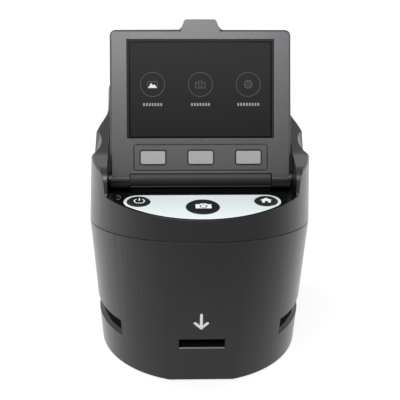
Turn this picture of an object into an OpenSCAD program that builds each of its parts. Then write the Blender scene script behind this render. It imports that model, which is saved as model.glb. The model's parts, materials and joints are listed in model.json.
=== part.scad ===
// Film negative scanner: a round pod with a squared back, a display that tilts up out of
// a cradle, a control deck in front of it and a tray tunnel low in the body.
// Millimetres, +Z up, the front faces -Y, the origin is the middle of the footprint on the table.
// Shapes are drawn about the axis of the round front, and placed() moves them to the origin.

/* [Body shell] */
// Radius of the round front at the parting line
body_r = 59; // [58.5:0.5:60]
// Radius of the round front at the bottom edge
base_r = 53.6; // [53:0.2:54.6]
// Radius of the round front at the top of the upper shell
rim_r = 56.8; // [56.6:0.1:57.4]
// Half width of the squared back at the parting line
block_w = 51.8; // [51.8:0.1:52.4]
// Half width of the squared back at the bottom edge
block_base_w = 48.8; // [48.4:0.2:49.6]
// Half width of the squared back at the top of the upper shell
block_top_w = 50.3; // [50.2:0.1:50.8]
// Depth of the squared back behind the axis, at the parting line
block_d = 72.5; // [72.2:0.1:73]
// Depth of the squared back at the bottom edge
block_base_d = 69.5; // [69:0.5:70]
// Depth of the squared back at the top of the upper shell
block_top_d = 71.8; // [71.8:0.1:72.2]
// Corner radius of the squared back
block_corner_r = 5; // [4:0.5:6]
// Wall thickness of the shells
wall = 2.4; // [2:0.1:2.6]
// Height of the parting line above the table, on the axis
seam_z = 72.1; // [71:0.1:73]
// Fall of the parting line toward the back, in degrees
seam_fall = 13.9; // [13:0.1:14.5]
// Gap between the two shells at the parting line
seam_gap = 0.3; // [0.2:0.1:0.4]
// Height of the tongue that locates the shells
tongue_h = 1.8; // [1.4:0.2:2]
// Height of the bottom edge above the table
foot_gap = 1; // [0.8:0.1:1.4]
// Half width of the flat at the foot of the front
front_flat_w = 16.7; // [16.3:0.1:17.2]
// Height over which that flat runs out
front_flat_h = 56; // [54:1:60]
// Widening of the squared back toward its rear at the top of the upper shell, in degrees
block_flare = 1.7; // [1.4:0.1:2]

/* [Cheeks and rim] */
// Height of the control deck rim
deck_z = 98.9; // [98.4:0.1:99.4]
// Distance in front of the axis where the cheeks rise
cheek_y = 29.7; // [29.4:0.1:30]
// Lean of the cheek fronts from upright, in degrees
cheek_lean = 8; // [6:1:10]
// Height of the crest of the cheeks
crest_z = 111.5; // [111:0.1:111.8]
// Rounding of the crest
crest_round = 8; // [7:0.5:8.5]
// Blend where the cheeks rise from the rim of the deck
cheek_foot_round = 2; // [1.5:0.5:3]
// Rounding of the outer edge of the cheeks and the rim
rim_round = 1.8; // [1.2:0.2:2]
// Height of the rim line above the table, on the axis
rim_z = 113; // [112.6:0.1:113.4]
// Slope of the rim, the cradle and the folded display, in degrees
cradle_angle = 17.2; // [16.8:0.2:17.6]
// Blend between crest and rim
dip_round = 16; // [10:1:20]
// Distance behind the axis where the rim starts to round over
hump_y = 31; // [29:1:33]
// Rounding of the rim over the back
hump_round = 67.8; // [66:0.2:70]
// Depth of the thumb scoops at the rim
scoop_depth = 4.2; // [3.8:0.1:4.6]
// Radius of the thumb scoops
scoop_r = 16; // [14:0.5:18]
// Distance of the scoops behind the axis
scoop_y = 5; // [4:0.2:6]
// Lean of the scoops, which run out down the wall, in degrees
scoop_lean = 13; // [10:1:16]

/* [Cradle] */
// Half width of the display
display_w = 47.45; // [47.2:0.05:47.6]
// Gap between the display and each cheek
cheek_gap = 0.95; // [0.8:0.05:1]
// Distance of the trough's front wall in front of the axis
trough_y = 24.8; // [24.4:0.1:25.2]
// Depth of the trough under the hinge axis
trough_depth = 7.2; // [7:0.1:7.6]
// Gap between the folded display and the cradle floor
floor_gap = 1.05; // [1:0.05:1.2]
// Gap between the folded display's end and the back wall
end_gap = 1.4; // [1.35:0.05:1.45]
// Distance of the trough's back wall behind the hinge axis
trough_back = 3.5; // [3:0.1:3.6]
// Thickness of the rest pads
pad_h = 0.8; // [0.6:0.05:0.85]
// Radius of the rest pads
pad_r = 4; // [3:0.5:5]

/* [Hinge] */
// Distance of the hinge axis in front of the body axis
hinge_y = 6.5; // [6.4:0.1:6.8]
// Height of the hinge axis above the table
hinge_z = 98.2; // [98:0.1:98.6]
// Lean of the raised display behind upright, in degrees
lean = 23.8; // [20:0.2:26]
// Radius of the hinge lobes, and half the display thickness
lobe_r = 5.2; // [5.1:0.05:5.3]
// Half width of the fixed knuckle between the lobes
knuckle_w = 37; // [36:0.5:38]
// Gap between the knuckle and the display
knuckle_gap = 0.4; // [0.35:0.05:0.5]
// Radius of the cable bore in the knuckle
knuckle_bore_r = 2.6; // [2:0.1:3]
// Radius of the hinge pins
pin_r = 1.5; // [1.3:0.1:1.8]
// Radial running clearance of the pins in the lobes
pin_clearance = 0.05; // [0.03:0.01:0.08]
// Length of each pin
pin_l = 9.5; // [9:0.5:10]
// Depth of each pin in its cheek
pin_seat = 3.4; // [3:0.2:3.8]
// Outer radius of the friction washers
washer_r = 4; // [3.6:0.1:4.4]

/* [Display] */
// Height of the display above the hinge axis
display_h = 77.8; // [77.6:0.1:78]
// Corner radius of the display
display_corner_r = 3.2; // [2.8:0.2:3.6]
// Rounding of the display's front edges
front_edge = 0.9; // [0.6:0.1:1.2]
// Rounding of the display's back edges
back_edge = 2.2; // [1.8:0.2:2.4]
// Thickness of the display shells
display_wall = 1.6; // [1.5:0.05:1.7]
// Depth at which the bezel and the back cover part, behind the hinge axis
display_split = 0.5; // [0.3:0.1:0.7]
// Gap between bezel and back cover
split_gap = 0.15; // [0.1:0.05:0.25]
// Length of the finger tab
tab_l = 5.4; // [5:0.1:5.6]
// Half width of the finger tab at its root
tab_root_w = 10.5; // [9.5:0.5:12]
// Half width of the finger tab at its end
tab_end_w = 8.9; // [8:0.1:9.2]
// Thickness of the finger tab
tab_t = 3; // [2.6:0.1:3.2]
// Half width of the screen window
window_w = 38.6; // [38.4:0.1:38.8]
// Height of the window's lower edge above the hinge axis
window_u0 = 21.05; // [21:0.05:21.2]
// Height of the window's upper edge above the hinge axis
window_u1 = 72.8; // [72.6:0.1:72.9]
// Thickness of the window lens
lens_t = 1.1; // [1:0.05:1.2]
// Depth of the window lens behind the face of the bezel
lens_inset = 0.35; // [0.3:0.05:0.4]
// Thickness of the display module
lcd_t = 2.8; // [2.4:0.1:2.9]
// Margin of the display module round the window
lcd_margin = 1.6; // [1.4:0.1:1.8]

/* [Soft keys] */
// Width of each soft key
key_w = 12.95; // [12.8:0.05:13.2]
// Height of each soft key
key_h = 6.95; // [6.8:0.05:7.2]
// Spacing of the soft keys
key_pitch = 25; // [24.5:0.1:25.4]
// Height of the key row above the hinge axis
key_u = 10.9; // [10.8:0.05:11.1]
// Gap round each key
key_gap = 0.55; // [0.45:0.05:0.6]
// Corner radius of each key
key_corner_r = 1; // [0.6:0.1:1.2]
// How far the keys stand out of the key panel
key_proud = 0.7; // [0.6:0.1:0.9]
// Travel of the soft keys
key_travel = 0.5; // [0.3:0.1:0.5]
// Half width of the raised key panel
panel_w = 34.75; // [34.4:0.05:35.2]
// Height of the key panel
panel_h = 13.1; // [12.8:0.1:13.4]
// How far the key panel stands out of the bezel
panel_rise = 0.45; // [0.3:0.05:0.6]

/* [Control deck] */
// Width of the deck rim
deck_rim = 0.75; // [0.7:0.05:1]
// Thickness of the black deck panel
deck_t = 2.2; // [2:0.1:2.3]
// Gap round and under the deck panel
deck_gap = 0.15; // [0.1:0.05:0.2]
// Drop of the deck panel below the rim
deck_drop = 0.2; // [0.15:0.05:0.3]
// Black border in front of the fascia, to the edge of the deck's pocket
fascia_margin = 1.35; // [1.2:0.05:1.5]
// Black border beyond the fascia's round ends
fascia_end_margin = 1.45; // [1.4:0.05:1.6]
// White border round the side buttons
fascia_border = 1.75; // [1.6:0.05:1.9]
// Thickness of the fascia
fascia_t = 1; // [0.8:0.1:1.2]
// Radius of the side buttons
side_button_r = 5.85; // [5.7:0.05:5.9]
// Distance of the side buttons in front of the trough
side_button_back = 11.4; // [11.2:0.1:11.6]
// Radius of the capture button
capture_r = 8.4; // [8:0.1:8.6]
// Distance of the capture button behind the fascia's front edge
capture_back = 13.7; // [13.5:0.1:13.9]
// Gap round each button
button_gap = 0.2; // [0.15:0.05:0.25]
// How far the buttons stand out of the fascia
button_proud = 0.6; // [0.4:0.1:0.8]
// Travel of the buttons
button_travel = 0.8; // [0.5:0.1:0.8]
// Length of the button stems
stem_l = 4; // [3.6:0.1:4.2]
// Width and thickness of the flange that keeps each button in
flange = 1.2; // [1:0.1:1.3]
// Distance of the button board under the deck
board_drop = 8.3; // [8.2:0.1:8.6]
// Radius of the status light
led_r = 0.8; // [0.7:0.05:0.9]
// Distance of the status light from the pocket's edge
led_inset = 4.75; // [4.6:0.05:5]
// Distance of the status light in front of the trough
led_back = 6.3; // [6:0.1:6.6]

/* [Tray tunnel] */
// Distance of the tunnel's front side in front of the axis
tunnel_front = 35.5; // [35:0.1:35.8]
// Width of the tunnel
tunnel_w = 61; // [60:0.5:62]
// Height of the tunnel floor above the table
tunnel_z = 21.5; // [21.4:0.1:21.8]
// Height of the tunnel
tunnel_h = 7.1; // [6.8:0.1:7.2]
// Thickness of the guide's plates
guide_t = 1.6; // [1.5:0.1:1.7]
// Thickness of the guide's side walls
guide_wall = 1.7; // [1.5:0.1:1.8]
// Gap between the guide's round ends and the lower shell
guide_gap = 0.6; // [0.5:0.1:0.8]
// Bevel on the lower lip of the side openings
lip_bevel = 1.9; // [1.5:0.1:2]
// Half width of the front slot
slot_w = 12; // [11.6:0.1:12.2]
// Height of the front slot
slot_h = 5.4; // [5.2:0.1:5.6]
// Height of the front slot's lower edge above the table
slot_z = 22.3; // [22.2:0.1:22.4]
// Bevel on the front slot's lower lip
slot_bevel = 0.9; // [0.6:0.1:1.2]
// Width of the film gate
gate_w = 40; // [38:0.5:42]
// Depth of the film gate
gate_d = 28; // [26:0.5:30]

/* [Inside] */
// Thickness of the base plate
base_t = 2.4; // [2.2:0.1:2.6]
// Radius of the rubber feet
foot_r = 5; // [4.5:0.5:6]
// Angle of the front feet from the side, in degrees
foot_angle = 34.4; // [33:0.2:36]
// Radius of the screw bosses
boss_r = 3.4; // [3.2:0.1:3.6]
// Height of the base's screw bosses above the table
boss_top = 17; // [15:0.5:17.5]
// Thickness of the ribs that tie the bosses to the wall
rib_t = 2.4; // [1.6:0.2:2.6]
// Radius of the base screws' shanks
screw_r = 1.2; // [1.1:0.05:1.3]
// Thickness of the circuit boards
board_t = 1.6; // [1.5:0.05:1.6]
// Height of the camera bracket's top plate above the table
bracket_z = 58; // [56:1:60]
// Half width of the backlight box
box_w = 26; // [25:0.5:27]
// Half depth of the backlight box
box_d = 20; // [19:0.5:21]
// Half width of the camera bracket
bracket_w = 24; // [23:0.5:25]
// Wall thickness of the camera bracket
bracket_t = 1.8; // [1.6:0.1:2]
// Radius of the lens barrel
barrel_r = 7; // [6.5:0.5:7.5]
// Distance of the main board behind the axis
board_y = 58; // [57.5:0.5:58.5]
// Height of the socket row above the table
socket_z = 16; // [15:0.5:17]

/* [Hidden] */
$fn = 72;
eps = 0.01;
body_y = (body_r - block_d) / 2;
blend_power = 48;
top_z = 130;
fit = 0.3;
snug = 0.1;
small_hole_r = 1.1;
small_head_r = 1.9;
small_head_h = 1;
small_shank_r = 0.7;
thread_r = 0.8;
socket_gap = 0.4;
ribbon_w = 8;
ribbon_t = 0.4;
// Each socket: distance from the middle, width, height
SOCKETS = [[-22, 9, 4.2], [0, 12, 4.2], [27.5, 25, 3.2]];

seam = [seam_z, -tan(seam_fall)];
rim_slope = tan(cradle_angle);
well_w = display_w + cheek_gap;
half_t = lobe_r;
trough_z = hinge_z - trough_depth;
floor_drop = (half_t + floor_gap) / cos(cradle_angle);
display_reach = display_h * cos(cradle_angle) + (half_t - back_edge) * sin(cradle_angle);
well_end = display_reach - hinge_y + end_gap;
cradle_floor = hinge_z - floor_drop + hinge_y * rim_slope;
trough_end = trough_back - hinge_y;
tunnel_back = tunnel_w - tunnel_front;
tunnel_mid = tunnel_w / 2 - tunnel_front;
deck_floor = deck_z - deck_drop - deck_t - deck_gap;
deck_under = deck_floor - wall;
deck_top = deck_z - deck_drop;
button_top = deck_top + button_proud;
base_low = foot_gap + fit;
base_top = base_low + base_t;
out = body_r + 5;

// The deck's pocket follows the shell's radius at the rim, and the fascia and buttons follow the pocket
seam_front_z = seam_z + body_r * tan(seam_fall);
flat_y = sqrt(base_r * base_r - front_flat_w * front_flat_w);
flat_run_out = (body_r - base_r) * front_flat_h / (seam_front_z - foot_gap);
flat_angle = atan((base_r + flat_run_out - flat_y) / front_flat_h);
deck_r = body_r - (body_r - rim_r) * (deck_z - seam_front_z) / (top_z - seam_front_z) - deck_rim;
fascia_front = deck_r - fascia_margin;
fascia_end_r = side_button_r + fascia_border;
side_button_y = trough_y + side_button_back;
side_button_x = sqrt(pow(deck_r - fascia_end_margin - fascia_end_r, 2) - pow(side_button_y, 2));
capture_y = fascia_front - capture_back;
led_y = trough_y + led_back;
led_x = sqrt(pow(deck_r - led_inset, 2) - pow(led_y, 2));

shell_colour = "#2c2c2e";
deck_colour = "#0e0e10";
white_colour = "#e6eaea";
key_colour = "#8a8b8e";
glass_colour = "#23252a";
board_colour = "#1f5a35";
metal_colour = "#a9abae";
rubber_colour = "#1a1a1a";
amber_colour = "#c98a2b";
switch_colour = "#303034";
guide_colour = "#3a3a3d";
camera_colour = "#26262a";

// ---------------------------------------------------------------- outlines and lofts

// Angles of the right half of an outline, closer together round the corner of the squared back
half_angles = concat(
    [for (a = [-90:3:48]) a],
    [for (a = [50.5:0.5:58.5]) a],
    [for (a = [62:4:90]) a]
);
outline_angles = concat(
    half_angles,
    [for (i = [len(half_angles) - 2:-1:1]) 180 - half_angles[i]]
);

// Distance to the corner arc of the squared back along a ray
function corner_r(c, s, w, d, r) =
    let (m = c * (w - r) + s * (d - r))
    m + sqrt(m * m - pow(w - r, 2) - pow(d - r, 2) + r * r);

// Distance to the squared back along a ray; its sides widen toward the rear by the flare
function back_r(a, w, d, r, flare) =
    let (c = abs(cos(a)), s = sin(a), k = tan(flare))
    s <= 0 ? w - k * (d - r)
    : w * s <= (d - r) * c ? (w - k * (d - r)) / (c - k * s)
    : d * c <= (w - r) * s ? d / s
    : corner_r(c, s, w, d, r);

// The round front and the squared back as one outline, with a soft blend where they meet
function outline(front, w, d, r, flare) = [
    for (a = outline_angles)
    let (p = blend_power, q = pow(pow(front, p) + pow(back_r(a, w, d, r, flare), p), 1 / p))
    [q * cos(a), q * sin(a)]
];

function corner(inset) = max(block_corner_r - inset, 1);
function base_outline(inset) =
    outline(base_r - inset, block_base_w - inset, block_base_d - inset, corner(inset), 0);
function seam_outline(inset) =
    outline(body_r - inset, block_w - inset, block_d - inset, corner(inset), 0);
function top_outline(inset) =
    outline(rim_r - inset, block_top_w - inset, block_top_d - inset, corner(inset), block_flare);

// Points of an outline on a plane that slopes toward the back
function on_plane(points, plane, lift) = [for (q = points) [q.x, q.y, plane[0] + plane[1] * q.y + lift]];

// Solid through a stack of outlines with the same number of points, from the lowest to the highest
module stack(rings) {
    n = len(rings[0]);
    top = n * (len(rings) - 1);
    sides = [
        for (k = [0:n:top - n], i = [0:n - 1])
        let (j = (i + 1) % n)
        each [[k + i, k + n + i, k + n + j], [k + i, k + n + j, k + j]]
    ];
    polyhedron(
        points = [for (ring = rings) each ring],
        faces = concat([[for (i = [0:n - 1]) i]], [[for (i = [n - 1:-1:0]) top + i]], sides),
        convexity = 4
    );
}

module loft(low, high) {
    stack([low, high]);
}

// Points of an arc in the side view
function arc(centre, r, from, to, steps) =
    [for (i = [0:steps]) let (a = from + (to - from) * i / steps) centre + r * [cos(a), sin(a)]];

// A side view, drawn as [y, z], carried across the body
module across(half_width) {
    rotate([90, 0, 90])
        translate([0, 0, -half_width])
            linear_extrude(2 * half_width) children();
}

// A plan carried up from one height to another
module upright(from, to) {
    translate([0, 0, from]) linear_extrude(to - from) children();
}

module block(low, high) {
    translate(low) cube(high - low);
}

module rod(x, y, from, to, r) {
    translate([x, y, from]) cylinder(r = r, h = to - from);
}

module both_sides() {
    children();
    mirror([1, 0, 0]) children();
}

module placed() {
    translate([0, body_y, 0]) children();
}

// The display's own frame: X across, +Z up its face, -Y out of its face, zero on the hinge axis
module on_display() {
    placed() translate([0, -hinge_y, hinge_z]) rotate([-lean, 0, 0]) children();
}

// ---------------------------------------------------------------- shells

foot_edge = 3.5;
front_foot = (base_r - wall - fit - foot_r - foot_edge) * [cos(foot_angle), -sin(foot_angle)];
back_foot = [block_base_w - foot_r - 7.8, block_base_d - foot_r - 10.5];
front_boss = (base_r - wall - boss_r + 0.6) * [cos(45), -sin(45)];
back_boss = [block_base_w - wall - boss_r + 0.2, back_foot.y - 6];
// Screw bosses of the main board: distance from the middle, height
board_boss = [34, 42];

module front_and_back(front, back) {
    both_sides() {
        translate(front) children();
        translate(back) children();
    }
}

module lower_skin(inset, drop, lift) {
    loft(
        on_plane(base_outline(inset), [foot_gap, 0], -drop),
        on_plane(seam_outline(inset), seam, lift)
    );
}

// Everything in front of the flat at the foot of the front, moved inward by an inset
module front_flat(inset) {
    translate([0, -flat_y, foot_gap])
        rotate([flat_angle, 0, 0])
            block([-body_r, -20, -3], [body_r, inset, front_flat_h + 1]);
}

// Side opening with its bevelled lower lip
module side_opening() {
    block([-out, -tunnel_front, tunnel_z], [out, tunnel_back, tunnel_z + tunnel_h]);
    both_sides()
        intersection() {
            block([base_r / 2, -tunnel_front, tunnel_z - lip_bevel], [out, tunnel_back, tunnel_z + 1]);
            translate([0, 0, tunnel_z - lip_bevel])
                rotate_extrude()
                    polygon([[base_r - lip_bevel, lip_bevel + eps], [body_r + 6, lip_bevel + eps],
                             [body_r + 6, -0.9], [base_r + 0.9, 0]]);
        }
}

module front_slot() {
    front = -flat_y - (slot_z - foot_gap) * tan(flat_angle);
    reach = 2;
    block([-slot_w, -body_r - 2, slot_z], [slot_w, -tunnel_front - 2, slot_z + slot_h]);
    across(slot_w)
        polygon([[front + slot_bevel, slot_z + eps], [front - reach, slot_z - slot_bevel - reach],
                 [front - reach, slot_z + eps]]);
}

module lower_housing() {
    boss_low = base_top + 0.05;
    color(shell_colour) placed() difference() {
        union() {
            difference() {
                lower_skin(0, 0, 0);
                difference() {
                    lower_skin(wall, 1, 1);
                    front_flat(wall);
                }
                front_flat(0);
            }
            intersection() {
                difference() {
                    loft(on_plane(seam_outline(wall / 2 + 0.1), seam, -2),
                         on_plane(seam_outline(wall / 2 + 0.1), seam, tongue_h));
                    loft(on_plane(seam_outline(wall), seam, -3),
                         on_plane(seam_outline(wall), seam, tongue_h + 1));
                }
                block([-body_r, -body_r, 0], [body_r, block_d, top_z]);
            }
            intersection() {
                lower_skin(wall / 2, 0, -1);
                union() {
                    front_and_back(front_boss, back_boss) {
                        rod(0, 0, boss_low, boss_top, boss_r);
                        block([boss_r / 2, -rib_t / 2, boss_low], [base_r, rib_t / 2, boss_top]);
                    }
                    both_sides() translate([board_boss.x, board_y + board_t + snug, board_boss.y])
                        rotate([-90, 0, 0]) cylinder(r = boss_r, h = block_d - board_y);
                }
            }
        }
        front_and_back(front_boss, back_boss) rod(0, 0, 0, boss_top - 2, screw_r - snug);
        side_opening();
        front_slot();
        for (k = SOCKETS)
            block([k.x - k.y / 2 - socket_gap, block_base_d - wall - 2, socket_z - k.z / 2 - socket_gap],
                  [k.x + k.y / 2 + socket_gap, block_d + 2, socket_z + k.z / 2 + socket_gap]);
    }
}

// Centres of the arcs of the rim in the side view: crest, dip and hump
face_top = crest_z - crest_round;
crest = [-cheek_y + (face_top - deck_z) * tan(cheek_lean) + crest_round / cos(cheek_lean), face_top];
dip = [(crest_z - rim_z) / rim_slope - dip_round * tan(cradle_angle / 2), crest_z + dip_round];
hump = [hump_y, rim_z + hump_y * rim_slope] + hump_round * [sin(cradle_angle), -cos(cradle_angle)];

// Height of the cheeks and the rim at a distance behind the axis
function rim_height(y) =
    y < dip.x ? crest_z
    : y < dip.x + dip_round * sin(cradle_angle) ? dip.y - sqrt(dip_round * dip_round - pow(y - dip.x, 2))
    : y < hump_y ? rim_z + y * rim_slope
    : hump.y + sqrt(hump_round * hump_round - pow(y - hump.x, 2));

// Everything under the deck, cheeks and rim, seen from the side
module rim_profile() {
    foot = [-cheek_y - cheek_foot_round, deck_z + cheek_foot_round];
    polygon(concat(
        [[-90, 0], [-90, deck_z]],
        arc(foot, cheek_foot_round, 270, 360 - cheek_lean, 5),
        arc(crest, crest_round, 180 - cheek_lean, 90, 12),
        arc(dip, dip_round, 270, 270 + cradle_angle, 5),
        arc(hump, hump_round, 90 + cradle_angle, 60, 16),
        [[90, 0]]
    ));
}

// Outside of the upper shell, from the parting line up, rounded over toward the rim
module upper_skin() {
    low = on_plane(seam_outline(0), seam, seam_gap);
    high = top_outline(0);
    n = len(high);
    rims = [for (q = high) rim_height(q.y)];
    function at(i, inset, z) =
        let (t = (z - low[i].z) / (top_z - low[i].z))
        let (q = [low[i].x, low[i].y] * (1 - t) + high[i] * t)
        let (p = q * (1 - inset / norm(q)))
        [p.x, p.y, z];
    stack(concat(
        [low],
        [for (a = [0:15:90])
            [for (i = [0:n - 1])
                at(i, rim_round * (1 - cos(a)), rims[i] - rim_round * (1 - sin(a)) + (a == 90 ? eps : 0))]],
        [[for (i = [0:n - 1]) at(i, rim_round, top_z)]]
    ));
}

// Space for the display seen from the side: open over the deck, with the trough and a sloping floor
module cradle_profile() {
    polygon([
        [-out, top_z + 20], [-out, deck_z], [-trough_y, deck_z], [-trough_y, trough_z],
        [trough_end, trough_z], [trough_end, cradle_floor + trough_end * rim_slope],
        [well_end, cradle_floor + well_end * rim_slope], [well_end, top_z + 20]
    ]);
}

// Space inside the upper shell, under the deck and the cradle
module upper_cavity() {
    floor_z = cradle_floor - wall;
    step_y = trough_end + wall;
    far = block_d + 20;
    intersection() {
        loft(on_plane(seam_outline(wall), seam, -1), on_plane(top_outline(wall), [top_z, 0], 0));
        across(body_r)
            polygon([
                [-far, 0], [-far, deck_under], [-trough_y - wall, deck_under],
                [-trough_y - wall, trough_z - wall], [step_y, trough_z - wall],
                [step_y, floor_z + step_y * rim_slope], [far, floor_z + far * rim_slope], [far, 0]
            ]);
    }
}

// Cradle with round corners at its back
module cradle_plan() {
    r = display_corner_r;
    difference() {
        translate([-well_w, -out]) square([2 * well_w, out + well_end]);
        both_sides() translate([well_w - r, well_end - r]) difference() {
            square(r + 1);
            circle(r);
        }
    }
}

module thumb_scoop() {
    x = rim_r + 0.6 - scoop_depth + scoop_r;
    translate([x, scoop_y, rim_z])
        rotate([0, -scoop_lean, 0])
            translate([0, 0, -40]) cylinder(r = scoop_r, h = 70, $fn = 96);
}

// Plan of the deck between the rim and the trough
module deck_plan(inset) {
    intersection() {
        circle(deck_r - inset, $fn = 180);
        translate([-well_w + inset, -body_r])
            square([2 * (well_w - inset), body_r - trough_y - deck_rim - inset]);
    }
}

button_spots = [
    [-side_button_x, -side_button_y, side_button_r],
    [0, -capture_y, capture_r],
    [side_button_x, -side_button_y, side_button_r]
];
board_post = [17, -40];
post_low = deck_under - board_drop;

// Way for the flat cable, up through the trough's floor and the knuckle's foot
module ribbon_slit(from, to) {
    block([-ribbon_w - 1, -hinge_y - 1.2, from], [ribbon_w + 1, -hinge_y + 1.2, to]);
}

module upper_housing() {
    color(shell_colour) placed() difference() {
        union() {
            difference() {
                intersection() {
                    upper_skin();
                    across(out) rim_profile();
                }
                upper_cavity();
                intersection() {
                    across(well_w) cradle_profile();
                    upright(0, top_z + 10) cradle_plan();
                }
                loft(on_plane(seam_outline(wall / 2 - 0.1), seam, -1),
                     on_plane(seam_outline(wall / 2 - 0.1), seam, tongue_h + seam_gap));
            }
            both_sides() translate(board_post) rod(0, 0, post_low, deck_floor - 0.5, boss_r - 0.4);
        }
        upright(deck_floor, top_z) deck_plan(0);
        for (b = button_spots) rod(b.x, b.y, deck_floor - 10, top_z, b.z + button_gap);
        rod(-led_x, -led_y, deck_floor - 6, top_z, led_r + snug);
        both_sides() thumb_scoop();
        both_sides() translate([well_w - 1, -hinge_y, hinge_z]) rotate([0, 90, 0])
            cylinder(r = pin_r + 0.02, h = pin_seat + 1.2);
        ribbon_slit(trough_z - wall - 3, trough_z + 1);
        both_sides() translate(board_post) rod(0, 0, post_low - 1, deck_under + 0.5, thread_r);
    }
}

module base_plate() {
    pillar = base_r - 11.6;
    pillar_r = 3;
    ahead = 38.2;
    behind = 25.3;
    color(shell_colour) placed() difference() {
        union() {
            upright(base_low, base_top) polygon(base_outline(wall + fit));
            front_and_back(pillar * [cos(ahead), -sin(ahead)], pillar * [cos(behind), sin(behind)])
                rod(0, 0, base_top - 0.5, tunnel_z - guide_t - 2 * snug, pillar_r);
        }
        front_flat(wall + fit);
        front_and_back(front_foot, back_foot) rod(0, 0, 0, base_low + 0.5, foot_r + 0.2);
        front_and_back(front_boss, back_boss) {
            rod(0, 0, 0, base_top + 1, screw_r + 0.2);
            rod(0, 0, 0, base_low + 1.2, 2 * screw_r + 0.3);
        }
    }
}

module rubber_feet() {
    color(rubber_colour) placed() front_and_back(front_foot, back_foot) {
        rod(0, 0, 0.6, base_low + 0.45, foot_r);
        rod(0, 0, 0, 0.61, foot_r - 0.5);
    }
}

// A screw, head down: cross recess, head and shank
module screw(head_r, head_h, shank_r, length) {
    difference() {
        union() {
            cylinder(r = head_r, h = head_h);
            cylinder(r = shank_r, h = length);
        }
        for (a = [0, 90]) rotate([0, 0, a])
            block([-head_r * 0.6, -head_h * 0.14, -1], [head_r * 0.6, head_h * 0.14, head_h * 0.5]);
    }
}

module base_screws() {
    color(metal_colour) placed() front_and_back(front_boss, back_boss)
        translate([0, 0, base_low + snug]) screw(2 * screw_r, 1, screw_r - 0.15, 11);
}

// ---------------------------------------------------------------- control deck

// Plan of the fascia: round ends about the side buttons, and a front arc that touches both
module fascia_plan(inset) {
    end = [side_button_x, -side_button_y];
    reach = fascia_front - fascia_end_r;
    arc_y = (end * end - reach * reach) / (2 * (reach + end.y));
    turn = atan2(end.y - arc_y, end.x);
    polygon(concat(
        arc(end, fascia_end_r - inset, 90, turn, 20),
        arc([0, arc_y], fascia_front + arc_y - inset, turn - 1, 1 - 180 - turn, 44),
        arc([-end.x, end.y], fascia_end_r - inset, -180 - turn, -270, 20)
    ));
}

module deck_panel() {
    color(deck_colour) placed() difference() {
        upright(deck_floor + deck_gap, deck_top) deck_plan(deck_gap);
        upright(deck_top - fascia_t, top_z) fascia_plan(-deck_gap);
        for (b = button_spots) rod(b.x, b.y, 0, top_z, b.z + button_gap);
        rod(-led_x, -led_y, 0, top_z, led_r + snug);
    }
}

module control_fascia() {
    color(white_colour) placed() difference() {
        upright(deck_top - fascia_t + 0.02, deck_top + 0.1) fascia_plan(0);
        for (b = button_spots) rod(b.x, b.y, 0, top_z, b.z + button_gap);
    }
}

module status_light() {
    color(white_colour) placed() rod(-led_x, -led_y, deck_under - 0.6, deck_top + 0.1, led_r);
}

// A button: domed cap, flange under the deck and a stem down to its switch
module button(spot) {
    stem_r = 2;
    edge = 0.4;
    flange_top = deck_under - 0.2;
    color(deck_colour) placed() translate([spot.x, spot.y, 0])
        rotate_extrude() polygon(concat(
            [[0, deck_under - stem_l], [stem_r, deck_under - stem_l], [stem_r, flange_top - flange],
             [spot.z + flange, flange_top - flange], [spot.z + flange, flange_top], [spot.z, flange_top]],
            arc([spot.z - edge, button_top - 1.5 * edge], edge, 0, 80, 4),
            [[spot.z - 3 * edge, button_top - 0.12], [spot.z / 2, button_top - 0.03], [0, button_top]]
        ));
}

module power_button() { button(button_spots[0]); }
module capture_button() { button(button_spots[1]); }
module home_button() { button(button_spots[2]); }

module button_board() {
    board_w = side_button_x + side_button_r + 2.75;
    front = capture_y + capture_r;
    color(board_colour) placed() difference() {
        upright(post_low - board_t - snug, post_low - snug)
            intersection() {
                circle(body_r - wall - 3.5);
                translate([-board_w, -front]) square([2 * board_w, front - trough_y - 5.2]);
            }
        both_sides() translate(board_post) rod(0, 0, 0, top_z, small_hole_r);
    }
}

module button_switches() {
    w = 3;
    color(switch_colour) placed() for (b = button_spots) {
        block([b.x - w, b.y - w, post_low], [b.x + w, b.y + w, post_low + 2.2]);
        rod(b.x, b.y, post_low + 2.1, deck_under - stem_l - button_travel - snug, 1.6);
    }
}

module button_board_screws() {
    color(metal_colour) placed() both_sides() translate(board_post)
        translate([0, 0, post_low - board_t - 2 * snug - small_head_h])
            screw(small_head_r, small_head_h, small_shank_r, 6.5);
}

// ---------------------------------------------------------------- hinge

module hinge_knuckle() {
    r = lobe_r - 0.2;
    color(shell_colour) placed() difference() {
        union() {
            translate([-knuckle_w, -hinge_y, hinge_z]) rotate([0, 90, 0]) cylinder(r = r, h = 2 * knuckle_w);
            block([-knuckle_w, -hinge_y - 3, trough_z + snug], [knuckle_w, -hinge_y + 3, hinge_z - 2]);
            translate([0, -hinge_y, hinge_z]) rotate([lean + 12, 0, 0])
                block([-knuckle_w, -r - 0.45, -0.4], [knuckle_w, -r + 1, 0.4]);
        }
        translate([-knuckle_w - 1, -hinge_y, hinge_z]) rotate([0, 90, 0])
            cylinder(r = knuckle_bore_r, h = 2 * knuckle_w + 2);
        ribbon_slit(0, hinge_z);
    }
}

module hinge_pin() {
    color(metal_colour) placed()
        translate([well_w + pin_seat - pin_l, -hinge_y, hinge_z])
            rotate([0, 90, 0]) cylinder(r = pin_r, h = pin_l);
}

module hinge_pin_left() { mirror([1, 0, 0]) hinge_pin(); }
module hinge_pin_right() { hinge_pin(); }

module friction_washers() {
    color(metal_colour) placed() both_sides()
        translate([display_w + cheek_gap * 0.2, -hinge_y, hinge_z]) rotate([0, 90, 0]) difference() {
            cylinder(r = washer_r, h = cheek_gap * 0.6);
            translate([0, 0, -1]) cylinder(r = pin_r + 0.1, h = 4);
        }
}

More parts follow.
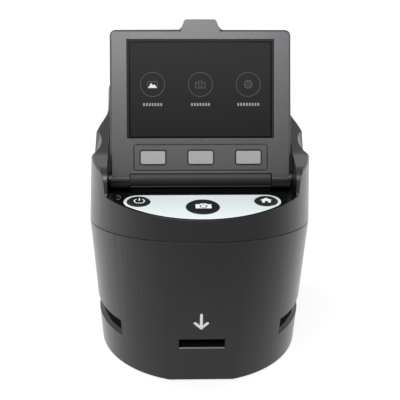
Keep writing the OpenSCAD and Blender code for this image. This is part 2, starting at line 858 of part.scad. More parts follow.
module rest_pads() {
    pad_x = 30;
    pad_y = well_end - 14.1;
    color(rubber_colour) placed() both_sides()
        translate([pad_x, pad_y, cradle_floor + pad_y * rim_slope])
            rotate([cradle_angle, 0, 0]) translate([0, 0, 0.02]) cylinder(r = pad_r, h = pad_h);
}

// ---------------------------------------------------------------- display

// Front view of the display, drawn as [x, height above the hinge axis]
module display_plan(inset, low) {
    r = display_corner_r - inset;
    w = display_w - inset;
    difference() {
        translate([-w, low]) square([2 * w, display_h - inset - low]);
        both_sides() translate([w - r, display_h - inset - r]) difference() {
            square(r + 1);
            circle(r);
        }
    }
}

// A front view carried through the display from one depth to another
module through(from, to) {
    rotate([90, 0, 0]) translate([0, 0, -to]) linear_extrude(to - from) children();
}

// Rectangle about the middle with round corners
module round_plan(half_w, half_h, r) {
    difference() {
        square([2 * half_w, 2 * half_h], center = true);
        for (sx = [-1, 1], sy = [-1, 1]) scale([sx, sy])
            translate([half_w - r, half_h - r]) difference() {
                square(r + 1);
                circle(r);
            }
    }
}

// Clearance that the fixed knuckle needs
module knuckle_space() {
    translate([-knuckle_w - knuckle_gap, 0, 0]) rotate([0, 90, 0])
        cylinder(r = lobe_r + 0.3, h = 2 * (knuckle_w + knuckle_gap));
    block([-knuckle_w - knuckle_gap, -lobe_r - 1, -lobe_r - 1],
          [knuckle_w + knuckle_gap, lobe_r + 1, 2.5]);
}

face = -lobe_r;
inner_face = face + display_wall;
bezel_back = display_split - split_gap / 2;
cover_front = display_split + split_gap / 2;
cover_inner = half_t - display_wall;
key_flange = 1.2;
panel_corner_r = 0.8;
panel_groove = 0.4;
cover_low = 5.9;

module at_display_screws() {
    for (sx = [-1, 1], u = [12, display_h - 4.2])
        translate([sx * (display_w - 4.45), 0, u]) rotate([-90, 0, 0]) children();
}

module finger_tab() {
    round_r = 2;
    through(face, face + tab_t) {
        polygon([[-tab_root_w, display_h - 1], [tab_root_w, display_h - 1], [tab_root_w, display_h],
                 [tab_end_w, display_h + tab_l - round_r], [tab_end_w - round_r, display_h + tab_l],
                 [-tab_end_w + round_r, display_h + tab_l], [-tab_end_w, display_h + tab_l - round_r],
                 [-tab_root_w, display_h]]);
        both_sides() {
            translate([tab_end_w - round_r, display_h + tab_l - round_r]) circle(round_r);
            translate([tab_root_w, display_h - eps]) difference() {
                translate([-0.6, 0]) square([1.8, 1.2]);
                translate([1.2, 1.2]) circle(1.2);
            }
        }
    }
}

module display_bezel() {
    color(shell_colour) on_display() difference() {
        union() {
            difference() {
                hull() {
                    through(face, face + 0.05) display_plan(front_edge, front_edge);
                    through(face + front_edge, bezel_back) display_plan(0, 0);
                }
                through(inner_face, lobe_r) intersection() {
                    display_plan(display_wall, 3.4);
                    translate([-display_w, 0]) square([2 * display_w, display_h]);
                }
            }
            finger_tab();
            through(face - panel_rise, inner_face - eps)
                translate([0, key_u]) round_plan(panel_w, panel_h / 2, panel_corner_r);
            both_sides() translate([knuckle_w + knuckle_gap, 0, 0]) rotate([0, 90, 0])
                cylinder(r = lobe_r, h = display_w - knuckle_w - knuckle_gap);
            at_display_screws() rod(0, 0, inner_face - 0.2, bezel_back, 2.1);
        }
        knuckle_space();
        both_sides() translate([knuckle_w - 1, 0, 0]) rotate([0, 90, 0])
            cylinder(r = pin_r + pin_clearance, h = 20);
        through(face - 1, inner_face + 1) {
            translate([-window_w, window_u0]) square([2 * window_w, window_u1 - window_u0]);
            for (k = [-1, 0, 1])
                translate([k * key_pitch, key_u])
                    round_plan(key_w / 2 + key_gap, key_h / 2 + key_gap, key_corner_r + key_gap);
        }
        through(face - 1, face + panel_groove) translate([0, key_u]) difference() {
            round_plan(panel_w + panel_groove, panel_h / 2 + panel_groove, panel_corner_r + panel_groove);
            round_plan(panel_w, panel_h / 2, panel_corner_r);
        }
        at_display_screws() rod(0, 0, inner_face + 0.4, half_t, thread_r);
    }
}

module display_back_cover() {
    color(shell_colour) on_display() difference() {
        union() {
            difference() {
                hull() {
                    through(cover_front, half_t - back_edge) display_plan(0, cover_low);
                    through(half_t - 0.05, half_t) display_plan(back_edge, cover_low + back_edge / 2);
                }
                through(cover_front - 1, cover_inner) display_plan(display_wall, cover_low + 1.7);
            }
            at_display_screws() rod(0, 0, cover_front, half_t - 0.4, 2.4);
        }
        knuckle_space();
        at_display_screws() {
            rod(0, 0, 0, out, small_hole_r);
            rod(0, 0, half_t / 2, out, small_head_r);
        }
    }
}

module display_screws() {
    color(metal_colour) on_display() at_display_screws()
        translate([0, 0, half_t - 1.4]) mirror([0, 0, 1])
            screw(small_head_r - 0.2, 1.1, small_shank_r, 6.4);
}

module lcd_module() {
    color("#1b1c20") on_display()
        through(inner_face + 0.15, inner_face + 0.15 + lcd_t)
            translate([-window_w - lcd_margin, window_u0 - lcd_margin])
                square([2 * (window_w + lcd_margin), window_u1 - window_u0 + 2 * lcd_margin]);
}

module screen_lens() {
    color(glass_colour) on_display()
        through(face + lens_inset, face + lens_inset + lens_t)
            translate([-window_w + snug, window_u0 + snug])
                square([2 * (window_w - snug), window_u1 - window_u0 - 2 * snug]);
}

module key_board() {
    color(board_colour) on_display()
        through(cover_inner - snug - board_t, cover_inner - snug)
            translate([-display_w + 7.25, key_u - 2.9]) square([2 * (display_w - 7.25), 10.6]);
}

module key_switches() {
    w = 4.4;
    color(switch_colour) on_display() for (k = [-1, 0, 1])
        through(inner_face + 1.5, cover_inner - snug - board_t)
            translate([k * key_pitch - w / 2, key_u - w / 2]) square(w);
}

// A soft key: square cap with round corners, and a flange behind the bezel
module soft_key(k) {
    top = face - panel_rise - key_proud;
    color(key_colour) on_display() translate([k * key_pitch, 0, key_u]) {
        through(top, inner_face + 0.2) round_plan(key_w / 2, key_h / 2, key_corner_r);
        through(inner_face + 0.15, inner_face + 0.9)
            round_plan(key_w / 2 + key_flange, key_h / 2 + key_flange, 0.5);
    }
}

module soft_key_left() { soft_key(-1); }
module soft_key_middle() { soft_key(0); }
module soft_key_right() { soft_key(1); }

// ---------------------------------------------------------------- film path and camera

guide_low = tunnel_z - guide_t - snug;
guide_top = tunnel_z + tunnel_h;
cover_top = guide_top + snug + guide_t;

// Radius of the front of the lower shell at a height
function front_r(z) = base_r + (body_r - base_r) * (z - foot_gap) / (seam_front_z - foot_gap);
guide_r = min(front_r(guide_low), front_r(cover_top)) - wall - guide_gap;

module gate_hole() {
    block([-gate_w / 2, tunnel_mid - gate_d / 2, 0], [gate_w / 2, tunnel_mid + gate_d / 2, top_z]);
}

// Channel that guides the tray, with the sleeve of the front slot
module tray_guide() {
    color(guide_colour) placed() difference() {
        intersection() {
            rod(0, 0, guide_low, guide_top, guide_r);
            union() {
                block([-body_r, -tunnel_front - guide_wall, 0], [body_r, tunnel_back + guide_wall, top_z]);
                block([-slot_w - guide_wall, -body_r, slot_z - guide_wall],
                      [slot_w + guide_wall, -tunnel_front - 1, top_z]);
            }
        }
        block([-body_r, -tunnel_front - snug, tunnel_z - snug], [body_r, tunnel_back + snug, top_z]);
        block([-slot_w - snug, -body_r, slot_z - snug],
              [slot_w + snug, 1 - tunnel_front, slot_z + slot_h + snug]);
        front_flat(wall + guide_gap);
        gate_hole();
    }
}

// Plate over the channel, with the film gate
module guide_cover() {
    color(guide_colour) placed() difference() {
        intersection() {
            rod(0, 0, guide_top + snug, cover_top, guide_r);
            block([-body_r, -tunnel_front - guide_wall, 0], [body_r, tunnel_back + guide_wall, top_z]);
        }
        gate_hole();
    }
}

box_top = tunnel_z - guide_t - 0.4;
box_low = base_top + 0.2;
box_t = 1.6;
rebate = 2.4;

module backlight_box() {
    half = box_t / 2;
    color(white_colour) placed() translate([0, tunnel_mid, 0]) difference() {
        block([-box_w, -box_d, box_low], [box_w, box_d, box_top]);
        block([box_t - box_w, box_t - box_d, box_low + 1.2], [box_w - box_t, box_d - box_t, box_top]);
        block([half - box_w, half - box_d, box_top - rebate], [box_w - half, box_d - half, box_top + 1]);
    }
}

module led_board() {
    floor_z = box_low + 1.3;
    pitch = 10;
    led_w = 1.4;
    color(board_colour) placed() translate([0, tunnel_mid, 0])
        block([3 - box_w, 3 - box_d, floor_z], [box_w - 3, box_d - 3, floor_z + 1.2]);
    color("#f2e9a0") placed() translate([0, tunnel_mid, 0])
        for (i = [-1.5:1:1.5], j = [-1:1:1]) translate([i * pitch, j * pitch, 0])
            block([-led_w, -led_w, floor_z + 1.15], [led_w, led_w, floor_z + 2]);
}

module diffuser() {
    edge = box_t / 2 + 0.15;
    color("#f5f5f5") placed() translate([0, tunnel_mid, 0])
        block([edge - box_w, edge - box_d, box_top - rebate + snug],
              [box_w - edge, box_d - edge, box_top - 0.2]);
}

bracket_low = cover_top + snug;
bracket_d = bracket_w - 4;
sensor_post = [14, 14];
post_h = 4;
sensor_low = bracket_z + post_h + snug;

module at_sensor_posts() {
    for (sx = [-1, 1], sy = [-1, 1]) translate([sx * sensor_post.x, sy * sensor_post.y, 0]) children();
}

module camera_bracket() {
    color(camera_colour) placed() translate([0, tunnel_mid, 0]) difference() {
        union() {
            block([-bracket_w, -bracket_d, bracket_low], [bracket_w, bracket_d, bracket_z]);
            at_sensor_posts() rod(0, 0, bracket_z - 1, bracket_z + post_h, 2.4);
        }
        block([bracket_t - bracket_w, bracket_t - bracket_d, 0],
              [bracket_w - bracket_t, bracket_d - bracket_t, bracket_z - 2]);
        rod(0, 0, 0, top_z, barrel_r + snug);
        at_sensor_posts() rod(0, 0, bracket_z - 1, top_z, thread_r);
    }
}

module lens_barrel() {
    color("#1c1c20") placed() translate([0, tunnel_mid, 0]) difference() {
        union() {
            rod(0, 0, bracket_z - 14, bracket_z + 1.6, barrel_r);
            rod(0, 0, bracket_z + snug, bracket_z + 1.6, barrel_r + 2);
        }
        rod(0, 0, 0, top_z, barrel_r - bracket_t);
    }
}

// Two biconvex lenses
module lens_elements() {
    curve_r = 10.8;
    half_lens = 1.6;
    color("#9fb8c8") placed() translate([0, tunnel_mid, 0])
        for (z = [bracket_z - 12, bracket_z - 6]) translate([0, 0, z])
            intersection() {
                translate([0, 0, half_lens - curve_r]) sphere(r = curve_r);
                translate([0, 0, curve_r - half_lens]) sphere(r = curve_r);
                translate([0, 0, -5]) cylinder(r = barrel_r - bracket_t - 0.05, h = 10);
            }
}

module sensor_board() {
    edge = 18;
    color(board_colour) placed() translate([0, tunnel_mid, 0]) difference() {
        block([-edge, -edge, sensor_low], [edge, edge, sensor_low + board_t]);
        at_sensor_posts() rod(0, 0, 0, top_z, small_hole_r);
    }
    color("#222222") placed() translate([0, tunnel_mid, 0])
        block([-5, -4, sensor_low - 2], [5, 4, sensor_low + snug]);
}

module sensor_screws() {
    color(metal_colour) placed() translate([0, tunnel_mid, 0]) at_sensor_posts()
        translate([0, 0, sensor_low + board_t + snug + small_head_h]) mirror([0, 0, 1])
            screw(small_head_r - 0.1, small_head_h, small_shank_r, 5.5);
}

// ---------------------------------------------------------------- main board and sockets

// Board with two chips on its front side
module main_board() {
    half = block_base_w - 8.8;
    board_top = 48;
    // Each chip: left, right, bottom, top, height above the board
    chips = [[-9, 9, 28, 44, 1.4], [16, 28, 30, 40, 1]];
    color(board_colour) placed()
        block([-half, board_y, base_top + 0.2], [half, board_y + board_t, board_top]);
    color(camera_colour) placed() for (c = chips)
        block([c[0], board_y - c[4], c[2]], [c[1], board_y + 0.1, c[3]]);
}

socket_front = board_y + board_t + snug;
socket_back = block_base_d - 0.6;

module socket_shell(k) {
    block([k.x - k.y / 2, socket_front, socket_z - k.z / 2],
          [k.x + k.y / 2, socket_back, socket_z + k.z / 2]);
}

module socket_mouth(k, skin, depth) {
    block([k.x - k.y / 2 + skin, socket_back - depth, socket_z - k.z / 2 + skin],
          [k.x + k.y / 2 - skin, socket_back + 1, socket_z + k.z / 2 - skin]);
}

// A socket with a tongue inside its mouth
module tongue_socket(k) {
    skin = 0.6;
    mouth = 7;
    color(metal_colour) placed() {
        difference() {
            socket_shell(k);
            socket_mouth(k, skin, mouth);
        }
        block([k.x - k.y / 2 + skin + 1, socket_back - mouth - 0.5, socket_z - 0.35],
              [k.x + k.y / 2 - skin - 1, socket_back - 0.8, socket_z + 0.35]);
    }
}

module usb_socket() { tongue_socket(SOCKETS[0]); }
module video_socket() { tongue_socket(SOCKETS[1]); }

module card_socket() {
    color(metal_colour) placed() difference() {
        socket_shell(SOCKETS[2]);
        socket_mouth(SOCKETS[2], 0.5, 8);
    }
}

// Flat cable from the main board up into the hinge knuckle, seen from the side
ribbon_path = [
    [board_y - 0.4, 45], [board_y - 2, 60], [board_y - 12, 76], [20, trough_z - 4.8],
    [-hinge_y, trough_z - 4.8], [-hinge_y, hinge_z - 2.7]
];

module display_ribbon() {
    r = ribbon_t / 2;
    color(amber_colour) placed() across(ribbon_w)
        for (i = [0:len(ribbon_path) - 2]) {
            a = ribbon_path[i];
            b = ribbon_path[i + 1];
            n = r * [-(b - a).y, (b - a).x] / norm(b - a);
            polygon([a - n, b - n, b + n, a + n]);
            translate(b) circle(r, $fn = 16);
        }
}

lower_housing();
upper_housing();
base_plate();
rubber_feet();
base_screws();
deck_panel();
control_fascia();
status_light();
power_button();
capture_button();
home_button();
button_board();
button_switches();
button_board_screws();
hinge_knuckle();
hinge_pin_left();
hinge_pin_right();
friction_washers();
rest_pads();
display_bezel();
display_back_cover();
display_screws();
lcd_module();
screen_lens();
key_board();
key_switches();
soft_key_left();
soft_key_middle();
soft_key_right();
tray_guide();
guide_cover();
backlight_box();
led_board();
diffuser();
camera_bracket();
lens_barrel();
lens_elements();
sensor_board();
sensor_screws();
main_board();
usb_socket();
video_socket();
card_socket();
display_ribbon();
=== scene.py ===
import json
import math

import bmesh
import bpy
from bpy.props import FloatProperty, FloatVectorProperty, IntProperty, PointerProperty
from mathutils import Matrix, Vector
from mathutils.bvhtree import BVHTree


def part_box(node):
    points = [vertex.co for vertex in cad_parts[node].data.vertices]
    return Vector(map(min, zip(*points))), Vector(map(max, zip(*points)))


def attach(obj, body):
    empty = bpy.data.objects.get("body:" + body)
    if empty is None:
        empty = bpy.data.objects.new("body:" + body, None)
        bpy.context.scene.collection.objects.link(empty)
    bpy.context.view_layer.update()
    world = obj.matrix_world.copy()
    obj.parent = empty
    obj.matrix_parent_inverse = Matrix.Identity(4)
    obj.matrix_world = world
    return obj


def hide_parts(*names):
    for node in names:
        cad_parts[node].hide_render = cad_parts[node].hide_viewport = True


bl_info = {
    "name": "Film Scanner Dressing",
    "version": (1, 0, 0),
    "blender": (4, 5, 0),
    "location": "3D View > Sidebar > Scanner",
    "description": "Finishes, printed marks, screen picture and studio for a film negative scanner",
    "category": "Object",
}

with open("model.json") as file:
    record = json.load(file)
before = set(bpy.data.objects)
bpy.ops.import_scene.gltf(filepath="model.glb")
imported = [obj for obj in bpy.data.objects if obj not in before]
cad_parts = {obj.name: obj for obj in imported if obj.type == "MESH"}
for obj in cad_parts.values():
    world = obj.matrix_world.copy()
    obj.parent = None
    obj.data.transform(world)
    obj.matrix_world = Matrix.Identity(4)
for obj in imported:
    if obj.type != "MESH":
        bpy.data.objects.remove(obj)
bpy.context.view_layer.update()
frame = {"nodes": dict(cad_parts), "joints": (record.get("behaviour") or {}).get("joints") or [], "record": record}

MM = 0.001
JOINTS = {joint["name"]: joint for joint in frame["joints"]}
HINGE = Vector(JOINTS["display_tilt"]["pos_m"])
PRESS = Vector(JOINTS["soft_key_middle_press"]["axis"])
LEAN = math.atan2(-PRESS.z, PRESS.y)
# The display's own frame: X across, +Z up its face, -Y out of its face, zero on the hinge axis
DISPLAY = Matrix.Translation(HINGE) @ Matrix.Rotation(-LEAN, 4, "X")
UPRIGHT = Matrix.Rotation(math.radians(90), 4, "X")

# Places on the display in its own frame, in millimetres: the window's face, the bezel's face over
# the keys, and the foot of the lit area
WINDOW_FACE = -4.85
BEZEL_FACE = -5.2
SCREEN_FOOT = 22.0

# Edges sharper than this, in degrees, are rounded off
SHARP_ANGLE = 28
# Thickness of the layers that make up the screen's picture
FILM = 0.02 * MM
# Width at which the power button's symbol is drawn
DRAWN_SYMBOL = 5.7 * MM


# ---------------------------------------------------------------- user settings


class ShellFinish(bpy.types.PropertyGroup):
    """Moulded shells"""

    body_color: FloatVectorProperty(
        name="Body", description="Colour of the body shells", subtype="COLOR", size=3,
        default=(0.0045, 0.0045, 0.0047), min=0, max=1)
    bezel_color: FloatVectorProperty(
        name="Display", description="Colour of the display's shells", subtype="COLOR", size=3,
        default=(0.048, 0.049, 0.053), min=0, max=1)
    edge_round: FloatProperty(
        name="Edge rounding", description="Rounding of the shells' edges", unit="LENGTH",
        default=0.2 * MM, min=0.1 * MM, max=0.25 * MM)
    grain: FloatProperty(
        name="Grain size", description="Size of the moulded grain", unit="LENGTH",
        default=0.32 * MM, min=0.1 * MM, max=1 * MM)


class DeckFinish(bpy.types.PropertyGroup):
    """Control deck"""

    fascia_color: FloatVectorProperty(
        name="Fascia", description="Colour of the control fascia", subtype="COLOR", size=3,
        default=(0.70, 0.765, 0.77), min=0, max=1)
    button_color: FloatVectorProperty(
        name="Buttons", description="Colour of the round buttons", subtype="COLOR", size=3,
        default=(0.006, 0.0085, 0.0095), min=0, max=1)
    print_color: FloatVectorProperty(
        name="Print", description="Colour of the symbols on the buttons", subtype="COLOR", size=3,
        default=(0.86, 0.88, 0.88), min=0, max=1)
    symbol_size: FloatProperty(
        name="Power symbol", description="Width of the symbol on the power button", unit="LENGTH",
        default=DRAWN_SYMBOL, min=3 * MM, max=8 * MM)


class ScreenPicture(bpy.types.PropertyGroup):
    """Picture on the screen"""

    screen_w: FloatProperty(
        name="Width", description="Width of the lit area", unit="LENGTH", default=73.44 * MM)
    screen_h: FloatProperty(
        name="Height", description="Height of the lit area", unit="LENGTH", default=48.96 * MM)
    ring_size: FloatProperty(
        name="Ring", description="Diameter of the menu rings", unit="LENGTH",
        default=12.6 * MM, min=8 * MM, max=20 * MM)
    ring_pitch: FloatProperty(
        name="Pitch", description="Spacing of the menu rings", unit="LENGTH",
        default=25.1 * MM, min=15 * MM, max=30 * MM)
    ring_count: IntProperty(
        name="Count", description="Number of menu rings", default=3, min=1, max=5)
    line: FloatProperty(
        name="Line", description="Width of the thin lines", unit="LENGTH",
        default=0.3 * MM, min=0.1 * MM, max=1 * MM)


class Studio(bpy.types.PropertyGroup):
    """Lamps and camera"""

    key_power: FloatProperty(
        name="Key", description="Power of the soft lamp above the front", unit="POWER", default=9)
    side_power: FloatProperty(
        name="Sides", description="Power of the soft lamps at the sides", unit="POWER", default=20)
    backdrop: FloatProperty(
        name="Backdrop", description="Share of pure white in the floor as the camera sees it",
        subtype="FACTOR", default=0.8, min=0, max=1)
    fill: FloatProperty(
        name="Fill", description="Strength of the even light from all round", default=0.55)
    lens: FloatProperty(
        name="Lens", description="Focal length of the camera", unit="CAMERA", default=110.88)


# ---------------------------------------------------------------- mesh helpers


def new_object(name, mesh):
    """Links a mesh to the scene as an object at the origin."""
    made = bpy.data.objects.new(name, mesh)
    bpy.context.scene.collection.objects.link(made)
    return made


def settled(thing):
    """Turns an object with modifiers, or a curve, into a plain mesh object of the same name."""
    name = thing.name
    graph = bpy.context.evaluated_depsgraph_get()
    mesh = bpy.data.meshes.new_from_object(
        thing.evaluated_get(graph), preserve_all_data_layers=True, depsgraph=graph)
    old = thing.data
    bpy.data.objects.remove(thing)
    if old.users == 0 and isinstance(old, bpy.types.Curve):
        bpy.data.curves.remove(old)
    mesh.name = name
    return new_object(name, mesh)


def shade(thing, angle):
    """Smooth shading that keeps the edges sharper than the angle, in degrees."""
    thing.data.shade_smooth()
    thing.data.set_sharp_from_angle(angle=math.radians(angle))


def merged_copy(node, name, weld=0.05 * MM):
    """A copy of a CAD node with its loose triangles merged into faces."""
    speck = 0.002 * MM
    flatness = math.radians(0.3)
    mesh = frame["nodes"][node].data.copy()
    work = bmesh.new()
    work.from_mesh(mesh)
    for reach in (speck, weld):
        bmesh.ops.remove_doubles(work, verts=work.verts, dist=reach)
    bmesh.ops.dissolve_degenerate(work, edges=work.edges, dist=speck)
    bmesh.ops.dissolve_limit(work, angle_limit=flatness, verts=work.verts, edges=work.edges)
    work.to_mesh(mesh)
    work.free()
    mesh.materials.clear()
    return new_object(name, mesh)


def area_of(mesh):
    """Area of a mesh's triangles."""
    mesh.calc_loop_triangles()
    return sum(triangle.area for triangle in mesh.loop_triangles)


def soften(thing, width):
    """Rounds the sharp edges, and keeps the large faces flat in the shading."""
    shade(thing, SHARP_ANGLE)
    before = area_of(thing.data)
    bevel = thing.modifiers.new("Rounding", "BEVEL")
    bevel.width = width
    bevel.segments = 2
    bevel.limit_method = "ANGLE"
    bevel.angle_limit = math.radians(SHARP_ANGLE)
    bevel.use_clamp_overlap = False
    bevel.miter_outer = "MITER_SHARP"
    bevel.harden_normals = True
    level = thing.modifiers.new("Normals", "WEIGHTED_NORMAL")
    level.mode = "FACE_AREA"
    level.keep_sharp = True
    thing = settled(thing)
    if not 0.9 < area_of(thing.data) / before < 1.02:
        raise RuntimeError(f"{thing.name}: a rounding of {width / MM:.2f} mm folds over its neighbours")
    return thing


def finish_piece(thing, body, material, slot, *nodes):
    """Gives a piece its finish and its body, and hides the nodes it stands for; the slot is not used."""
    thing.data.materials.clear()
    thing.data.materials.append(material)
    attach(thing, body)
    if nodes:
        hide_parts(*nodes)


def joined(name, things):
    """Joins mesh objects into one."""
    work = bmesh.new()
    for thing in things:
        work.from_mesh(thing.data)
        bpy.data.objects.remove(thing)
    mesh = bpy.data.meshes.new(name)
    work.to_mesh(mesh)
    work.free()
    return new_object(name, mesh)


def surface_of(thing):
    """Search tree of an object's mesh, for rays."""
    work = bmesh.new()
    work.from_mesh(thing.data)
    tree = BVHTree.FromBMesh(work)
    work.free()
    return tree


# ---------------------------------------------------------------- outlines and prints


def circle(x, y, r, steps=64):
    """Closed outline of a circle."""
    turn = 2 * math.pi / steps
    return [(x + r * math.cos(i * turn), y + r * math.sin(i * turn)) for i in range(steps)]


def rectangle(w, h):
    """Closed outline of a rectangle about the middle."""
    return [(-w / 2, -h / 2), (w / 2, -h / 2), (w / 2, h / 2), (-w / 2, h / 2)]


def stroke(points, width):
    """Closed outline of a line of the given width along points, with round ends."""
    outline = []
    route = [Vector(p) for p in points]
    half = width / 2
    end_steps = 6
    sharpest = 0.4
    for way in (route, route[::-1]):
        for i in range(len(way) - 1):
            d = (way[i + 1] - way[i]).normalized()
            n = Vector((d.y, -d.x))
            if i == 0:
                outline.append(tuple(way[0] + n * half))
            else:
                before = (way[i] - way[i - 1]).normalized()
                m = (n + Vector((before.y, -before.x))).normalized()
                outline.append(tuple(way[i] + m * half / max(m.dot(n), sharpest)))
        d = (way[-1] - way[-2]).normalized()
        n = Vector((d.y, -d.x))
        for step in range(end_steps + 1):
            a = math.radians(90 - step * 180 / end_steps)
            outline.append(tuple(way[-1] + d * half * math.cos(a) + n * half * math.sin(a)))
    return outline


def arc_band(x, y, r, width, start, end, steps=32):
    """Closed outline of a band along an arc, angles in degrees."""
    route = [math.radians(start + (end - start) * i / steps) for i in range(steps + 1)]
    outer, inner = (
        [(x + edge * math.cos(a), y + edge * math.sin(a)) for a in route]
        for edge in (r + width / 2, r - width / 2))
    return outer + inner[::-1]


def gear_outline(teeth, outer, inner):
    """Closed outline of a cog."""
    points = []
    for tooth in range(teeth):
        for share, r in ((0.0, inner), (0.18, inner), (0.32, outer), (0.68, outer), (0.82, inner)):
            a = 2 * math.pi * (tooth + share) / teeth
            points.append((r * math.cos(a), r * math.sin(a)))
    return points


def cleaned(thing, place):
    """Welds a print's mesh, turns its faces outward and lays it in its place."""
    work = bmesh.new()
    work.from_mesh(thing.data)
    bmesh.ops.remove_doubles(work, verts=work.verts, dist=0.0005 * MM)
    bmesh.ops.recalc_face_normals(work, faces=work.faces)
    work.to_mesh(thing.data)
    work.free()
    thing.data.transform(place)
    return thing


def flat_print(name, outlines, thickness, place):
    """Thin solid bounded by closed outlines in millimetres; an outline inside another is a hole."""
    curve = bpy.data.curves.new(name, "CURVE")
    curve.dimensions = "2D"
    curve.fill_mode = "BOTH"
    curve.extrude = thickness / 2
    for outline in outlines:
        spline = curve.splines.new("POLY")
        spline.points.add(len(outline) - 1)
        for point, (x, y) in zip(spline.points, outline):
            point.co = (x * MM, y * MM, 0, 1)
        spline.use_cyclic_u = True
    return cleaned(settled(new_object(name, curve)), place)


def press_onto(thing, tree, towards, proud):
    """Wraps a thin flat print onto a surface: its two faces end just above and just below it."""
    cell = 0.6 * MM
    stand_off = 0.02
    towards = Vector(towards).normalized()
    work = bmesh.new()
    work.from_mesh(thing.data)
    across = Vector((1, 0, 0))
    for axis in (across, towards.cross(across)):
        spread = [v.co.dot(axis) for v in work.verts]
        low, high = min(spread), max(spread)
        cuts = int((high - low) / cell)
        for i in range(1, cuts + 1):
            bmesh.ops.bisect_plane(
                work, geom=work.verts[:] + work.edges[:] + work.faces[:],
                plane_co=axis * (low + i * (high - low) / (cuts + 1)), plane_no=axis)
    depths = [v.co.dot(towards) for v in work.verts]
    middle = (max(depths) + min(depths)) / 2
    for v in work.verts:
        start = v.co - towards * (stand_off + v.co.dot(towards) - middle)
        hit = tree.ray_cast(start, towards)[0]
        if hit is None:
            raise RuntimeError(f"{thing.name} misses the surface it is printed on")
        front = v.co.dot(towards) < middle
        v.co = hit - towards * (proud if front else -proud)
    bmesh.ops.recalc_face_normals(work, faces=work.faces)
    work.to_mesh(thing.data)
    work.free()


# ---------------------------------------------------------------- node helpers and groups


def feed(tree, node, values):
    """Fills a node's inputs, by name or number: a socket is linked, anything else is set."""
    for title, value in values.items():
        if isinstance(value, bpy.types.NodeSocket):
            tree.links.new(value, node.inputs[title])
        else:
            node.inputs[title].default_value = value


def new_node(tree, kind, values, **settings):
    """New node with its settings and its inputs."""
    node = tree.nodes.new(kind)
    for title, value in settings.items():
        setattr(node, title, value)
    feed(tree, node, values)
    return node


def math_node(tree, operation, first, second):
    """Result of a math node; each side is a socket or a number."""
    return new_node(tree, "ShaderNodeMath", {0: first, 1: second}, operation=operation).outputs[0]


def own_place(tree):
    """Where a point lies in its object's own coordinates."""
    return tree.nodes.new("ShaderNodeTexCoord").outputs["Object"]


def along(tree, place, direction):
    """How far a place lies along a direction."""
    node = new_node(tree, "ShaderNodeVectorMath", {0: place, 1: direction}, operation="DOT_PRODUCT")
    return node.outputs["Value"]


def noise(tree, vector, scale, detail, roughness=0.5):
    """Noise texture on a vector."""
    node = new_node(tree, "ShaderNodeTexNoise", {
        "Vector": vector, "Scale": scale, "Detail": detail, "Roughness": roughness})
    return node.outputs["Fac"]


def tinted(tree, color, level):
    """A colour times a level."""
    node = new_node(tree, "ShaderNodeVectorMath", {0: color, "Scale": level}, operation="SCALE")
    return node.outputs[0]


def ramp_of(tree, value, first, last):
    """Colour between two, by a value from 0 to 1."""
    node = new_node(tree, "ShaderNodeValToRGB", {"Fac": value})
    for stop, color in zip(node.color_ramp.elements, (first, last)):
        stop.color = (*color, 1)
    return node.outputs["Color"]


def group_of(name, inputs, outputs):
    """New shader node group with named sockets; returns the group, its input's sockets and its output."""
    tree = bpy.data.node_groups.new(name, "ShaderNodeTree")
    for title, kind, value in inputs:
        socket = tree.interface.new_socket(title, in_out="INPUT", socket_type=kind)
        socket.default_value = value
    for title, kind in outputs:
        tree.interface.new_socket(title, in_out="OUTPUT", socket_type=kind)
    return tree, tree.nodes.new("NodeGroupInput").outputs, tree.nodes.new("NodeGroupOutput")


def group_node(tree, name, values):
    """One of the shader node groups, placed in a material with its own values."""
    return new_node(tree, "ShaderNodeGroup", values, node_tree=bpy.data.node_groups[name])


def moulded_grain_group():
    """Fine spark-eroded grain of moulded plastic: height, colour mottle and gloss variation."""
    tree, given, sink = group_of(
        "Moulded grain",
        [("Grain size", "NodeSocketFloat", 0.0003), ("Color", "NodeSocketColor", (1, 1, 1, 1)),
         ("Mottle", "NodeSocketFloat", 0.1), ("Gloss", "NodeSocketFloat", 0.4),
         ("Gloss spread", "NodeSocketFloat", 0.05)],
        [("Color", "NodeSocketColor"), ("Roughness", "NodeSocketFloat"), ("Height", "NodeSocketFloat")])
    place = own_place(tree)
    fine_scale = math_node(tree, "DIVIDE", 1.0, given["Grain size"])
    fine = noise(tree, place, fine_scale, detail=2.0)
    cell = new_node(tree, "ShaderNodeTexVoronoi", {
        "Vector": place, "Scale": math_node(tree, "MULTIPLY", fine_scale, 0.6)}, feature="SMOOTH_F1")
    pits = math_node(tree, "MULTIPLY", cell.outputs["Distance"], 0.8)
    broad = noise(tree, place, scale=34.0, detail=3.0, roughness=0.6)
    shift, speck, spread = (
        math_node(tree, "MULTIPLY", math_node(tree, "SUBTRACT", pattern, 0.5), given[amount])
        for pattern, amount in ((broad, "Mottle"), (fine, "Mottle"), (broad, "Gloss spread")))
    level = math_node(tree, "ADD", 1.0, math_node(tree, "ADD", shift, speck))
    feed(tree, sink, {
        "Color": tinted(tree, given["Color"], level),
        "Roughness": math_node(tree, "ADD", given["Gloss"], spread),
        "Height": math_node(tree, "ADD", fine, pits)})


